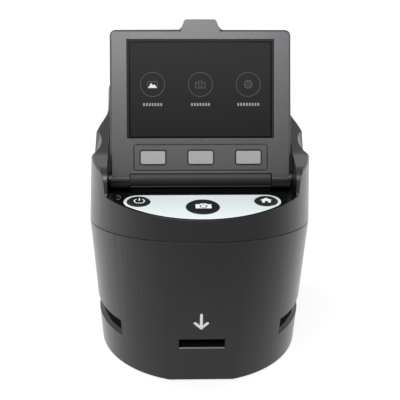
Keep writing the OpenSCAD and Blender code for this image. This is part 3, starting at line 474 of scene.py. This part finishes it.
def brushed_group():
    """Fine parallel scratches of drawn or turned metal."""
    tree, given, sink = group_of(
        "Drawn metal",
        [("Color", "NodeSocketColor", (0.6, 0.6, 0.6, 1)), ("Gloss", "NodeSocketFloat", 0.3)],
        [("Color", "NodeSocketColor"), ("Roughness", "NodeSocketFloat"), ("Height", "NodeSocketFloat")])
    stretch = new_node(tree, "ShaderNodeMapping", {
        "Vector": own_place(tree), "Scale": (400, 6000, 6000)})
    lines = noise(tree, stretch.outputs["Vector"], scale=1.0, detail=3.0)
    level = math_node(tree, "ADD", 0.8, math_node(tree, "MULTIPLY", lines, 0.4))
    dulled = math_node(tree, "ADD", given["Gloss"], math_node(tree, "MULTIPLY", lines, 0.15))
    feed(tree, sink, {
        "Color": tinted(tree, given["Color"], level), "Roughness": dulled, "Height": lines})


def fade_group():
    """Colour that changes along a direction of the object, from one to another between two distances."""
    tree, given, sink = group_of(
        "Fade along",
        [("Direction", "NodeSocketVector", (0, 0, 1)), ("Start", "NodeSocketFloat", 0.0),
         ("End", "NodeSocketFloat", 0.001), ("First", "NodeSocketColor", (0, 0, 0, 1)),
         ("Second", "NodeSocketColor", (1, 1, 1, 1))],
        [("Color", "NodeSocketColor")])
    span = new_node(tree, "ShaderNodeMapRange", {
        "Value": along(tree, own_place(tree), given["Direction"]),
        "From Min": given["Start"], "From Max": given["End"]})
    mix = new_node(tree, "ShaderNodeMix", {
        "Factor": span.outputs["Result"], "A": given["First"], "B": given["Second"]}, data_type="RGBA")
    feed(tree, sink, {"Color": mix.outputs["Result"]})


# ---------------------------------------------------------------- materials


def blank_material(name):
    """Material with a Principled shader; returns the material, its tree and the shader."""
    material = bpy.data.materials.new(name)
    material.use_nodes = True
    tree = material.node_tree
    return material, tree, tree.nodes["Principled BSDF"]


def bump_into(tree, shader, height, distance):
    """Bump of a real height on the shader's Normal."""
    bump = new_node(tree, "ShaderNodeBump", {"Height": height, "Distance": distance, "Strength": 1.0})
    feed(tree, shader, {"Normal": bump.outputs["Normal"]})


def moulded(name, color, gloss, grain=0.3 * MM, depth=0.004 * MM, mottle=0.12, spread=0.06,
            specular=0.5, coat=0.0, coat_gloss=0.1):
    """Moulded plastic with a fine grain."""
    material, tree, shader = blank_material(name)
    group = group_node(tree, "Moulded grain", {
        "Grain size": grain, "Color": (*color, 1), "Mottle": mottle, "Gloss": gloss,
        "Gloss spread": spread})
    feed(tree, shader, {
        "Base Color": group.outputs["Color"], "Roughness": group.outputs["Roughness"],
        "Specular IOR Level": specular, "Coat Weight": coat, "Coat Roughness": coat_gloss})
    bump_into(tree, shader, group.outputs["Height"], depth)
    return material


def faded(material, direction, first, *stages):
    """Lets a moulded material's colour change along a direction, from the first colour on.

    A stage is (start, end, colour), with distances from the hinge axis in millimetres.
    """
    tree = material.node_tree
    grain = next(node for node in tree.nodes if node.type == "GROUP")
    base = HINGE.dot(Vector(direction))
    color = (*first, 1)
    for start, end, second in stages:
        fade = group_node(tree, "Fade along", {
            "Direction": direction, "Start": base + start * MM, "End": base + end * MM,
            "First": color, "Second": (*second, 1)})
        color = fade.outputs["Color"]
    feed(tree, grain, {"Color": color})
    return material


def ink(name, color, gloss=0.5, mottle=0.05, specular=0.5):
    """Printed ink, hardly raised."""
    return moulded(name, color, gloss, 0.2 * MM, 0.002 * MM, mottle, specular=specular)


def inner_plastic(name, color, gloss, mottle=0.12, specular=0.5):
    """Plainly moulded plastic of the inner parts."""
    return moulded(name, color, gloss, 0.4 * MM, 0.01 * MM, mottle, specular=specular)


def drawn_metal(name, color, gloss):
    """Brushed or turned metal."""
    material, tree, shader = blank_material(name)
    group = group_node(tree, "Drawn metal", {"Color": (*color, 1), "Gloss": gloss})
    feed(tree, shader, {
        "Metallic": 1.0, "Base Color": group.outputs["Color"], "Roughness": group.outputs["Roughness"]})
    bump_into(tree, shader, group.outputs["Height"], 0.002 * MM)
    return material


def light_up(tree, shader, color, pixels, flicker, base, gloss, specular):
    """Makes a shader glow in a colour whose level varies a little from pixel to pixel."""
    spots = noise(tree, own_place(tree), pixels, detail=0.0)
    level = math_node(tree, "ADD", 1 - flicker / 2, math_node(tree, "MULTIPLY", spots, flicker))
    feed(tree, shader, {
        "Emission Color": tinted(tree, color, level), "Emission Strength": 1.0,
        "Base Color": (base, base, base, 1), "Roughness": gloss, "Specular IOR Level": specular})


def lit_print(name, level):
    """Grey picture element on the screen."""
    material, tree, shader = blank_material(name)
    light_up(tree, shader, (level, level, level), pixels=9000.0, flicker=0.12, base=0.004, gloss=0.25,
             specular=0.1)
    return material


def screen_picture_material(name, height):
    """Dark grey menu background, a little lighter toward the top; height is the lit area's."""
    material, tree, shader = blank_material(name)
    foot = DISPLAY @ Vector((0, 0, SCREEN_FOOT * MM))
    top = DISPLAY @ Vector((0, 0, SCREEN_FOOT * MM + height))
    split = new_node(tree, "ShaderNodeSeparateXYZ", {0: own_place(tree)})
    climb = new_node(tree, "ShaderNodeMapRange", {
        "Value": split.outputs["Z"], "From Min": foot.z, "From Max": top.z})
    color = ramp_of(
        tree, climb.outputs["Result"], (0.0120, 0.0120, 0.0122), (0.0264, 0.0265, 0.0268))
    light_up(tree, shader, color, pixels=7000.0, flicker=0.16, base=0.003, gloss=0.35, specular=0.03)
    return material


def circuit_material(name):
    """Green solder mask with faint traces."""
    material, tree, shader = blank_material(name)
    brick = new_node(tree, "ShaderNodeTexBrick", {
        "Vector": own_place(tree), "Scale": 380, "Color1": (0.012, 0.120, 0.045, 1),
        "Color2": (0.010, 0.090, 0.035, 1), "Mortar": (0.035, 0.230, 0.090, 1), "Mortar Size": 0.03})
    feed(tree, shader, {"Base Color": brick.outputs["Color"], "Roughness": 0.35})
    bump_into(tree, shader, brick.outputs["Fac"], 0.03 * MM)
    return material


def cable_material(name):
    """Flat cable with fine conductors along its length."""
    material, tree, shader = blank_material(name)
    wave = new_node(tree, "ShaderNodeTexWave", {
        "Vector": own_place(tree), "Scale": 320}, bands_direction="X")
    color = ramp_of(tree, wave.outputs["Fac"], (0.30, 0.13, 0.02), (0.62, 0.34, 0.07))
    feed(tree, shader, {"Base Color": color, "Roughness": 0.3})
    bump_into(tree, shader, wave.outputs["Fac"], 0.02 * MM)
    return material


def lens_material(name):
    """Clear glass of the camera lens."""
    material, tree, shader = blank_material(name)
    haze = math_node(tree, "MULTIPLY", noise(tree, own_place(tree), scale=600.0, detail=2.0), 0.06)
    feed(tree, shader, {
        "Roughness": haze, "Base Color": (0.80, 0.88, 0.95, 1), "Transmission Weight": 1.0})
    return material


def shell_materials(shells):
    """Finishes of the body's and the display's shells; those of the display carry painted shade, darker toward its
    hinge and lighter up its face.
    """
    rise = (DISPLAY.to_3x3() @ Vector((0, 0, 1))).normalized()
    shade_color, dim, low, lobe = (
        tuple(share * level for level in shells.bezel_color) for share in (0.19, 0.40, 0.60, 0.8))
    black = (0.0015, 0.0015, 0.0015)
    return {
        "shell": moulded("Body plastic", shells.body_color, gloss=0.36, grain=shells.grain,
                         depth=0.008 * MM, specular=0.1, coat=0.8, coat_gloss=0.3),
        # The display's plastic has painted shade: dark bands near the hinge axis, and a painted gradient that gets
        # lighter up the face toward its top
        "bezel": faded(
            moulded("Display plastic with painted shade", shells.bezel_color, gloss=0.26, grain=shells.grain,
                    depth=0.006 * MM),
            rise, lobe, (-3.2, -2.0, dim), (-2.0, -1.3, shade_color), (-0.7, 0.3, dim), (0.5, 4, low),
            (4, 68, shells.bezel_color)),
        # The knuckle's plastic is painted near black on its underside and lighter toward its top: painted shade
        # below the display
        "knuckle": faded(
            moulded("Knuckle plastic with painted shade", low, gloss=0.5, grain=shells.grain, depth=0.006 * MM,
                    specular=0.25),
            (0, 0, 1), black, (-3.5, -3, dim), (1.8, 4.2, low)),
        # The trough's dull black is painted shade in the recess behind the deck, not a different plastic
        "trough": moulded("Trough painted shade", (0.002, 0.002, 0.002), gloss=0.6, grain=0.4 * MM,
                          specular=0.0),
    }


def deck_materials(deck):
    """Finishes of the control deck, its buttons and the printed marks."""
    return {
        "deck": moulded("Gloss deck", (0.002, 0.002, 0.0025), gloss=0.16, grain=0.8 * MM,
                        depth=0.0005 * MM, mottle=0.05, spread=0.02, specular=0.04),
        "fascia": moulded("White fascia", deck.fascia_color, gloss=0.28, grain=0.5 * MM,
                          depth=0.001 * MM, mottle=0.02, spread=0.03),
        "button": moulded("Button plastic", deck.button_color, gloss=0.36, grain=0.25 * MM,
                          depth=0.003 * MM, specular=0.3),
        "light_pipe": moulded("Light pipe", (0.006, 0.0063, 0.0068), gloss=0.3, depth=0.001 * MM,
                              specular=0.1),
        "print": ink("Symbol ink", deck.print_color, gloss=0.45, mottle=0.03),
        "grey_print": ink("Grey ink", (0.46, 0.475, 0.475)),
        "tick_print": ink("Tick ink", (0.026, 0.026, 0.028), specular=0.2),
        "faint_print": ink("Faint ink", (0.10, 0.10, 0.103)),
    }


def screen_materials(screen):
    """Finishes of the soft keys, the window and the picture behind it."""
    toward = (DISPLAY.to_3x3() @ Vector((0, -1, 0))).normalized()
    key_color = (0.25, 0.25, 0.253)
    return {
        # The keys are silver paint on top; below the face their sides and flanges are near black, painted shade in
        # the gaps round them
        "key": faded(
            moulded("Soft key paint and painted gap shade", key_color, gloss=0.38, grain=0.2 * MM, depth=0.003 * MM,
                    mottle=0.05),
            toward, (0.008, 0.008, 0.009), (5.75, 5.95, key_color)),
        "glass": moulded("Black window border", (0.018, 0.018, 0.0188), gloss=0.3, grain=1 * MM,
                         depth=0.0003 * MM, mottle=0.02, spread=0.02, specular=0.05),
        "picture": screen_picture_material("Screen picture", screen.screen_h),
        "glow_dim": lit_print("Menu line", 0.095),
        "glow_bright": lit_print("Menu highlight", 0.80),
        "glow_text": lit_print("Menu caption", 0.32),
    }


def inner_materials():
    """Finishes of the parts inside and underneath."""
    return {
        "steel": drawn_metal("Steel", (0.58, 0.58, 0.59), gloss=0.26),
        "dark_steel": drawn_metal("Blackened steel", (0.05, 0.05, 0.055), gloss=0.4),
        "rubber": moulded("Rubber", (0.012, 0.012, 0.012), gloss=0.75, grain=0.4 * MM,
                          depth=0.02 * MM, mottle=0.2, spread=0.1, specular=0.3),
        "inner_grey": inner_plastic("Guide plastic", (0.006, 0.006, 0.0065), gloss=0.5, specular=0.15),
        "inner_black": inner_plastic("Camera plastic", (0.012, 0.012, 0.013), gloss=0.6),
        "inner_white": inner_plastic("Light box plastic", (0.80, 0.80, 0.79), gloss=0.5, mottle=0.03),
        "circuit": circuit_material("Circuit board"),
        "cable": cable_material("Flat cable"),
        "lens": lens_material("Lens glass"),
    }


# The finishes by name, filled by the first operator
MATERIALS = {}

# The record's slot of each CAD node, and the finish that each slot takes where the node is kept
SLOT_OF = {part["node"]: part["material_slot"] for part in frame["record"]["subparts"]}
FINISH_OF_SLOT = {
    "housing": "shell", "deck_black": "deck", "fascia_white": "fascia", "button_black": "button",
    "key_silver": "key", "light_pipe": "light_pipe", "screen": "glass", "lcd": "inner_black",
    "steel": "steel", "rubber": "rubber", "inner_grey": "inner_grey", "inner_black": "inner_black",
    "inner_white": "inner_white", "circuit_board": "circuit", "lens_glass": "lens", "flat_cable": "cable",
}


# ---------------------------------------------------------------- geometry nodes


def row_tree(name, parts):
    """Geometry Nodes tree that repeats a shape along X about the middle.

    parts(tree, given) builds the shape from the tree's inputs and returns its geometry socket.
    """
    tree = bpy.data.node_groups.new(name, "GeometryNodeTree")
    sockets = tree.interface
    sockets.new_socket("Geometry", in_out="INPUT", socket_type="NodeSocketGeometry")
    for title, kind, value in (
            ("Count", "NodeSocketInt", 3), ("Pitch", "NodeSocketFloat", 0.01),
            ("Width", "NodeSocketFloat", 0.002), ("Height", "NodeSocketFloat", 0.002),
            ("Thickness", "NodeSocketFloat", 0.0001)):
        sockets.new_socket(title, in_out="INPUT", socket_type=kind).default_value = value
    sockets.new_socket("Material", in_out="INPUT", socket_type="NodeSocketMaterial")
    sockets.new_socket("Geometry", in_out="OUTPUT", socket_type="NodeSocketGeometry")
    given = tree.nodes.new("NodeGroupInput").outputs
    sink = tree.nodes.new("NodeGroupOutput")
    gaps = math_node(tree, "SUBTRACT", given["Count"], 1.0)
    half = math_node(tree, "MULTIPLY", math_node(tree, "MULTIPLY", gaps, given["Pitch"]), -0.5)
    step, back = (
        new_node(tree, "ShaderNodeCombineXYZ", {"X": length}).outputs[0]
        for length in (given["Pitch"], half))
    line = new_node(tree, "GeometryNodeMeshLine", {
        "Count": given["Count"], "Offset": step, "Start Location": back}, mode="OFFSET")
    repeat = new_node(tree, "GeometryNodeInstanceOnPoints", {
        "Points": line.outputs["Mesh"], "Instance": parts(tree, given)})
    real = new_node(tree, "GeometryNodeRealizeInstances", {"Geometry": repeat.outputs["Instances"]})
    paint = new_node(tree, "GeometryNodeSetMaterial", {
        "Geometry": real.outputs["Geometry"], "Material": given["Material"]})
    feed(tree, sink, {"Geometry": paint.outputs["Geometry"]})
    return tree


def dash_part(tree, given):
    """Small upright block, as wide, high and thick as the inputs say."""
    size = new_node(tree, "ShaderNodeCombineXYZ", {
        "X": given["Width"], "Y": given["Height"], "Z": given["Thickness"]})
    return new_node(tree, "GeometryNodeMeshCube", {"Size": size.outputs[0]}).outputs["Mesh"]


def ring_part(tree, given):
    """Thin ring: Width is its diameter, Height the width of its line."""
    path = new_node(tree, "GeometryNodeCurvePrimitiveCircle", {
        "Resolution": 72, "Radius": math_node(tree, "MULTIPLY", given["Width"], 0.5)})
    section = new_node(tree, "GeometryNodeCurvePrimitiveQuadrilateral", {
        "Width": given["Height"], "Height": given["Thickness"]})
    sweep = new_node(tree, "GeometryNodeCurveToMesh", {
        "Curve": path.outputs["Curve"], "Profile Curve": section.outputs["Curve"]})
    return sweep.outputs["Mesh"]


def row_of(name, parts, values, material, place):
    """Object made by a row tree; values are the tree's inputs by name."""
    tree = bpy.data.node_groups.get(parts.__name__) or row_tree(parts.__name__, parts)
    thing = new_object(name, bpy.data.meshes.new(name))
    modifier = thing.modifiers.new("Row", "NODES")
    modifier.node_group = tree
    sockets = {item.name: item.identifier for item in tree.interface.items_tree if item.in_out == "INPUT"}
    for title, value in values.items():
        modifier[sockets[title]] = value
    modifier[sockets["Material"]] = material
    return cleaned(settled(thing), place)


# ---------------------------------------------------------------- pieces


def on_display(x, u, face):
    """Matrix that lays a flat print on the display: x across and u up it, at a face; in millimetres."""
    return DISPLAY @ Matrix.Translation(Vector((x, face, u)) * MM) @ UPRIGHT


def darken_trough(shell):
    """Gives the faces of the trough behind the deck, and the deck's edge over it, a dull black without
    reflections: painted shade in the recess behind the deck.
    """
    shell.data.materials.append(MATERIALS["trough"])
    low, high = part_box("deck_panel")
    front = high.y - 1 * MM
    back = 40 * MM
    top = high.z + 0.4 * MM
    for face in shell.data.polygons:
        x, y, z = face.center
        if low.x < x < high.x and front < y < back and z < top:
            face.material_index = 1


class SCANNER_OT_finishes(bpy.types.Operator):
    """All the finishes"""

    bl_idname = "scanner.finishes"
    bl_label = "Finishes"

    def execute(self, context):
        settings = context.scene.scanner
        moulded_grain_group()
        fade_group()
        brushed_group()
        for finishes in (shell_materials(settings.shells), deck_materials(settings.deck),
                         screen_materials(settings.screen), inner_materials()):
            MATERIALS.update(finishes)
        return {"FINISHED"}


class SCANNER_OT_shells(bpy.types.Operator):
    """Body shells with rounded edges, in grained plastic"""

    bl_idname = "scanner.shells"
    bl_label = "Body Shells"

    def execute(self, context):
        shells = context.scene.scanner.shells
        for node in ("upper_housing", "lower_housing"):
            shell = soften(merged_copy(node, node + "_casing"), shells.edge_round)
            finish_piece(shell, "housing", MATERIALS["shell"], "housing", node)
        darken_trough(bpy.data.objects["upper_housing_casing"])
        return {"FINISHED"}


class SCANNER_OT_display(bpy.types.Operator):
    """Display shells, hinge knuckle, soft keys and the ticks over them"""

    bl_idname = "scanner.display"
    bl_label = "Display"

    def execute(self, context):
        shells = context.scene.scanner.shells
        tick_row = 19.3
        for node, weld in (("display_bezel", 0.05), ("display_back_cover", 0.12)):
            shell = soften(merged_copy(node, node + "_casing", weld * MM), 0.75 * shells.edge_round)
            finish_piece(shell, "display", MATERIALS["bezel"], "housing", node)
        knuckle = soften(merged_copy("hinge_knuckle", "hinge_knuckle_bar"), width=0.2 * MM)
        finish_piece(knuckle, "housing", MATERIALS["knuckle"], "housing", "hinge_knuckle")
        for side in ("left", "middle", "right"):
            node = "soft_key_" + side
            key = soften(merged_copy(node, node + "_cap"), width=0.25 * MM)
            finish_piece(key, node, MATERIALS["key"], "key_silver", node)
        ticks = row_of(
            "key_ticks", dash_part,
            {"Count": 3, "Pitch": 25 * MM, "Width": 0.3 * MM, "Height": 2.2 * MM, "Thickness": 0.06 * MM},
            MATERIALS["tick_print"], on_display(0, tick_row, BEZEL_FACE))
        finish_piece(ticks, "display", MATERIALS["tick_print"], "key_silver")
        return {"FINISHED"}


def menu_symbols(line, pitch, height, face):
    """Line drawings in the menu rings: a picture frame, a camera and a cog, at a height up the display."""
    frame_w, frame_h = 5.2, 3.7
    cog_lift = 0.2
    case = [(-2.6, -1.85), (2.6, -1.85), (2.6, 1.5), (1.3, 1.5), (0.8, 2.1), (-0.8, 2.1), (-1.3, 1.5),
            (-2.6, 1.5)]
    hollow = [(-2.3, -1.55), (2.3, -1.55), (2.3, 1.2), (1.15, 1.2), (0.65, 1.8), (-0.65, 1.8),
              (-1.15, 1.2), (-2.3, 1.2)]
    drawings = (
        # Name, place across and up the display, and outlines
        ("frame_line", -pitch, height,
         [rectangle(frame_w, frame_h), rectangle(frame_w - 2 * line, frame_h - 2 * line)]),
        ("camera_line", 0, height, [case, hollow, circle(0, -0.15, 1.15), circle(0, -0.15, 0.85)]),
        ("cog_line", pitch, height + cog_lift,
         [gear_outline(teeth=9, outer=2.35, inner=1.95), circle(0, 0, 1.6), circle(0, 0, 0.9),
          circle(0, 0, 0.6)]))
    return joined("menu_symbols", [
        flat_print(name, outlines, FILM, on_display(x, u, face)) for name, x, u, outlines in drawings])


class SCANNER_OT_screen(bpy.types.Operator):
    """Menu on the screen: dark background, three rings with symbols and captions"""

    bl_idname = "scanner.screen"
    bl_label = "Screen Picture"

    def execute(self, context):
        screen = context.scene.scanner.screen
        width, height, pitch = (
            length / MM for length in (screen.screen_w, screen.screen_h, screen.ring_pitch))
        border = 1.6
        ring_height, symbol_height, caption_height = 49.2, 49.0, 38.7
        picture_face, line_face, bright_face = (WINDOW_FACE - out for out in (0.005, 0.025, 0.03))
        lit = rectangle(width, height)
        middle = on_display(0, SCREEN_FOOT + height / 2, picture_face)
        picture = flat_print("screen_picture", [lit], FILM, middle)
        finish_piece(picture, "display", MATERIALS["picture"], "lcd")
        edge = flat_print(
            "screen_border", [rectangle(width + border, height + border), lit], FILM, middle)
        finish_piece(edge, "display", MATERIALS["deck"], "lcd")
        rings = row_of(
            "menu_rings", ring_part,
            {"Count": screen.ring_count, "Pitch": screen.ring_pitch, "Width": screen.ring_size,
             "Height": screen.line, "Thickness": FILM},
            MATERIALS["glow_dim"], on_display(0, ring_height, line_face))
        finish_piece(rings, "display", MATERIALS["glow_dim"], "lcd")
        symbols = menu_symbols(screen.line / MM, pitch, symbol_height, line_face)
        finish_piece(symbols, "display", MATERIALS["glow_dim"], "lcd")
        hills = flat_print(
            "menu_hills", [[(-2.3, -1.6), (2.3, -1.6), (1.0, 0.35), (0.35, -0.35), (-0.75, 1.0)]],
            FILM, on_display(-pitch, symbol_height, bright_face))
        finish_piece(hills, "display", MATERIALS["glow_bright"], "lcd")
        captions = []
        for place, count in ((-1, 7), (0, 7), (1, 8)):
            captions.append(row_of(
                f"caption_{place}", dash_part,
                {"Count": count, "Pitch": 1.5 * MM, "Width": 0.9 * MM, "Height": 1.5 * MM,
                 "Thickness": FILM},
                MATERIALS["glow_text"], on_display(place * pitch, caption_height, line_face)))
        finish_piece(joined("menu_captions", captions), "display", MATERIALS["glow_text"], "lcd")
        return {"FINISHED"}


def button_symbols(scale):
    """Outlines of the signs on the buttons, in millimetres about the middle of each button."""
    line = 0.58
    return {
        "power": [arc_band(0.4, -0.2, 2.55 * scale, line, start=-235, end=55, steps=40),
                  stroke([(0.4, 0.3), (0.4, 3.1 * scale)], line)],
        "capture": [
            [(-3.7, -2.6), (4.3, -2.6), (4.3, 2.0), (2.4, 2.0), (1.7, 2.9), (-1.1, 2.9), (-1.8, 2.0),
             (-3.7, 2.0)],
            circle(0.3, -0.3, 2.0), circle(0.3, -0.3, 1.4)],
        "home": [
            [(-3.2, 0.1), (0, 2.9), (3.2, 0.1), (2.2, 0.1), (2.2, -2.6), (0.75, -2.6), (0.75, -0.7),
             (-0.75, -0.7), (-0.75, -2.6), (-2.2, -2.6), (-2.2, 0.1)]],
    }


class SCANNER_OT_deck(bpy.types.Operator):
    """White fascia, round buttons with their symbols, and the ring round the status light"""

    bl_idname = "scanner.deck"
    bl_label = "Control Deck"

    def execute(self, context):
        film = 0.04 * MM
        fascia = soften(merged_copy("control_fascia", "control_fascia_panel"), width=0.15 * MM)
        finish_piece(fascia, "housing", MATERIALS["fascia"], "fascia_white", "control_fascia")
        scale = context.scene.scanner.deck.symbol_size / DRAWN_SYMBOL
        for name, outlines in button_symbols(scale).items():
            node = name + "_button"
            low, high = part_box(node)
            spot = (low + high) / 2
            cap = merged_copy(node, node + "_cap")
            shade(cap, angle=32)
            finish_piece(cap, node, MATERIALS["button"], "button_black", node)
            mark = flat_print(
                name + "_symbol", outlines, film, Matrix.Translation((spot.x, spot.y, high.z)))
            press_onto(mark, surface_of(cap), (0, 0, -1), film / 2)
            finish_piece(mark, node, MATERIALS["print"], "fascia_white")
        low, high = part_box("status_light")
        light = (low + high) / 2
        stretch = 2.2
        mark = flat_print(
            "status_mark", [arc_band(0, 0, r=1.05, width=0.3, start=-145, end=155)], film,
            Matrix.Translation((light.x, light.y, high.z)) @ Matrix.Diagonal((1, stretch, 1, 1)))
        finish_piece(mark, "housing", MATERIALS["faint_print"], "key_silver")
        return {"FINISHED"}


class SCANNER_OT_arrow(bpy.types.Operator):
    """Arrow printed on the front, above the slot"""

    bl_idname = "scanner.arrow"
    bl_label = "Front Arrow"

    def execute(self, context):
        top, tip, reach, line = 44.3, 34.3, 3.95, 1.5
        off_middle, film = -0.5 * MM, 0.05 * MM
        pen = line / 2
        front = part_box("lower_housing")[0].y
        place = Matrix.Translation((off_middle, front, 0)) @ UPRIGHT
        shaft = [(0, top - pen), (0, tip + pen)]
        head = [(-reach + pen, tip + reach), (0, tip + pen), (reach - pen, tip + reach)]
        lines = [
            flat_print(name, [stroke(points, line)], film, place)
            for name, points in (("arrow_shaft", shaft), ("arrow_head", head))]
        tree = surface_of(bpy.data.objects["lower_housing_casing"])
        # The head stands a little prouder, so that the two lines don't share a face where they cross
        for part, proud in zip(lines, (0.03, 0.034)):
            press_onto(part, tree, (0, 1, 0), proud * MM)
        finish_piece(joined("front_arrow", lines), "housing", MATERIALS["grey_print"], "key_silver")
        return {"FINISHED"}


class SCANNER_OT_kept_parts(bpy.types.Operator):
    """Finishes of the parts that keep their own mesh"""

    bl_idname = "scanner.kept_parts"
    bl_label = "Other Parts"

    def execute(self, context):
        for name, node in frame["nodes"].items():
            finish = "dark_steel" if name == "friction_washers" else FINISH_OF_SLOT[SLOT_OF[name]]
            node.data.materials.clear()
            node.data.materials.append(MATERIALS[finish])
        return {"FINISHED"}


# ---------------------------------------------------------------- studio


def area_lamp(name, place, target, size, power):
    """Soft rectangular lamp aimed at a point."""
    light = bpy.data.lights.new(name, "AREA")
    light.shape = "RECTANGLE"
    light.size, light.size_y = size
    light.energy = power
    lamp = bpy.data.objects.new(name, light)
    bpy.context.scene.collection.objects.link(lamp)
    lamp.location = place
    lamp.rotation_euler = (Vector(target) - Vector(place)).to_track_quat("-Z", "Y").to_euler()
    return lamp


def seen_ray(tree):
    """1 for the rays by which the background is seen: straight, mirrored or through glass."""
    path = tree.nodes.new("ShaderNodeLightPath").outputs
    mirrored = math_node(tree, "MAXIMUM", path["Is Glossy Ray"], path["Is Transmission Ray"])
    return math_node(tree, "MAXIMUM", path["Is Camera Ray"], mirrored)


def floor_material(name, backdrop):
    """Pale floor that is seen as a white backdrop and keeps part of the shadows on it.

    What it gives to reflections is painted light that falls off toward the front right, away from the soft lamps.
    """
    material, tree, shader = blank_material(name)
    feed(tree, shader, {"Base Color": (0.90, 0.90, 0.90, 1), "Roughness": 0.9, "Specular IOR Level": 0.0})
    fall = new_node(tree, "ShaderNodeMapRange", {
        "Value": along(tree, own_place(tree), (-0.3, 1, 0)), "From Min": -0.20, "From Max": 0.0,
        "To Min": 0.35})
    straight = tree.nodes.new("ShaderNodeLightPath").outputs["Is Camera Ray"]
    white = new_node(tree, "ShaderNodeEmission", {
        "Strength": math_node(tree, "MAXIMUM", straight, fall.outputs["Result"])})
    mix = new_node(tree, "ShaderNodeMixShader", {
        "Fac": math_node(tree, "MULTIPLY", seen_ray(tree), backdrop),
        1: shader.outputs["BSDF"], 2: white.outputs["Emission"]})
    feed(tree, tree.nodes["Material Output"], {"Surface": mix.outputs["Shader"]})
    return material


def lay_floor(backdrop):
    """Wide square floor under the scanner."""
    reach = 4.0
    mesh = bpy.data.meshes.new("floor")
    mesh.from_pydata([(-reach, -reach, 0), (reach, -reach, 0), (reach, reach, 0), (-reach, reach, 0)],
                     [], [(0, 1, 2, 3)])
    floor = new_object("floor", mesh)
    mesh.materials.append(floor_material("Pale floor", backdrop))


def surround(scene, fill):
    """White surroundings as they are seen, which light the scanner evenly at the fill's strength."""
    world = scene.world or bpy.data.worlds.new("World")
    scene.world = world
    world.use_nodes = True
    tree = world.node_tree
    tree.nodes.clear()
    seen = new_node(tree, "ShaderNodeBackground", {"Color": (1, 1, 1, 1), "Strength": 1.0})
    light = new_node(tree, "ShaderNodeBackground", {"Strength": fill})
    mix = new_node(tree, "ShaderNodeMixShader", {
        "Fac": seen_ray(tree), 1: light.outputs[0], 2: seen.outputs[0]})
    new_node(tree, "ShaderNodeOutputWorld", {"Surface": mix.outputs[0]})


def aim_camera(scene, lens):
    """Camera a little above the deck, looking down at the front."""
    camera = bpy.data.cameras.new("camera")
    camera.lens = lens
    camera.sensor_width = 36
    camera.shift_x = 0.0008
    eye = bpy.data.objects.new("camera", camera)
    scene.collection.objects.link(eye)
    place = Vector((-23.59, -606.29, 369.0)) * MM
    look = Vector((0.0355, 0.9016, -0.4312)).normalized()
    right = Vector((0.99923, -0.03931, 0.0))
    up = right.cross(look).normalized()
    roll = math.radians(0.713)
    x_axis = (math.cos(roll) * right + math.sin(roll) * up).normalized()
    y_axis = (-look).cross(x_axis).normalized()
    turn = Matrix((x_axis, y_axis, -look)).transposed()
    eye.matrix_world = Matrix.Translation(place) @ turn.to_4x4()
    scene.camera = eye


class SCANNER_OT_studio(bpy.types.Operator):
    """Pale floor, soft lamps, white surroundings and the camera"""

    bl_idname = "scanner.studio"
    bl_label = "Studio"

    def execute(self, context):
        scene = context.scene
        studio = scene.scanner.studio
        lay_floor(studio.backdrop)
        surround(scene, studio.fill)
        middle = (0, 0, 0.09)
        area_lamp("key_lamp", (-0.25, -0.62, 0.76), middle, size=(0.9, 0.4), power=studio.key_power)
        for name, side in (("left_lamp", -1), ("right_lamp", 1)):
            lamp = area_lamp(
                name, (side * 0.78, 0.60, 0.20), middle, size=(0.7, 0.6), power=studio.side_power)
            lamp.visible_glossy = False
        aim_camera(scene, studio.lens)
        scene.view_settings.view_transform = "Standard"
        return {"FINISHED"}


# ---------------------------------------------------------------- panel and registration


class ScannerSettings(bpy.types.PropertyGroup):
    """All the settings"""

    shells: PointerProperty(type=ShellFinish, name="Shells", description="Moulded shells")
    deck: PointerProperty(type=DeckFinish, name="Deck", description="Control deck")
    screen: PointerProperty(type=ScreenPicture, name="Screen", description="Picture on the screen")
    studio: PointerProperty(type=Studio, name="Studio", description="Lamps and camera")


OPERATORS = (
    SCANNER_OT_finishes,
    SCANNER_OT_kept_parts,
    SCANNER_OT_shells,
    SCANNER_OT_display,
    SCANNER_OT_screen,
    SCANNER_OT_deck,
    SCANNER_OT_arrow,
    SCANNER_OT_studio,
)


class SCANNER_PT_panel(bpy.types.Panel):
    """Scanner settings and steps"""

    bl_idname = "SCANNER_PT_panel"
    bl_label = "Film Scanner"
    bl_space_type = "VIEW_3D"
    bl_region_type = "UI"
    bl_category = "Scanner"

    def draw(self, context):
        settings = context.scene.scanner
        for group in (settings.shells, settings.deck, settings.screen, settings.studio):
            box = self.layout.box()
            for name in group.bl_rna.properties.keys():
                if name not in ("rna_type", "name"):
                    box.prop(group, name)
        for operator in OPERATORS:
            self.layout.operator(operator.bl_idname)


CLASSES = (ShellFinish, DeckFinish, ScreenPicture, Studio, ScannerSettings, *OPERATORS, SCANNER_PT_panel)


def register():
    for item in CLASSES:
        bpy.utils.register_class(item)
    bpy.types.Scene.scanner = PointerProperty(type=ScannerSettings)


def unregister():
    del bpy.types.Scene.scanner
    for item in reversed(CLASSES):
        bpy.utils.unregister_class(item)


def main():
    register()
    bpy.ops.scanner.finishes()
    bpy.ops.scanner.kept_parts()
    bpy.ops.scanner.shells()
    bpy.ops.scanner.display()
    bpy.ops.scanner.screen()
    bpy.ops.scanner.deck()
    bpy.ops.scanner.arrow()
    bpy.ops.scanner.studio()


if __name__ == "__main__":
    main()
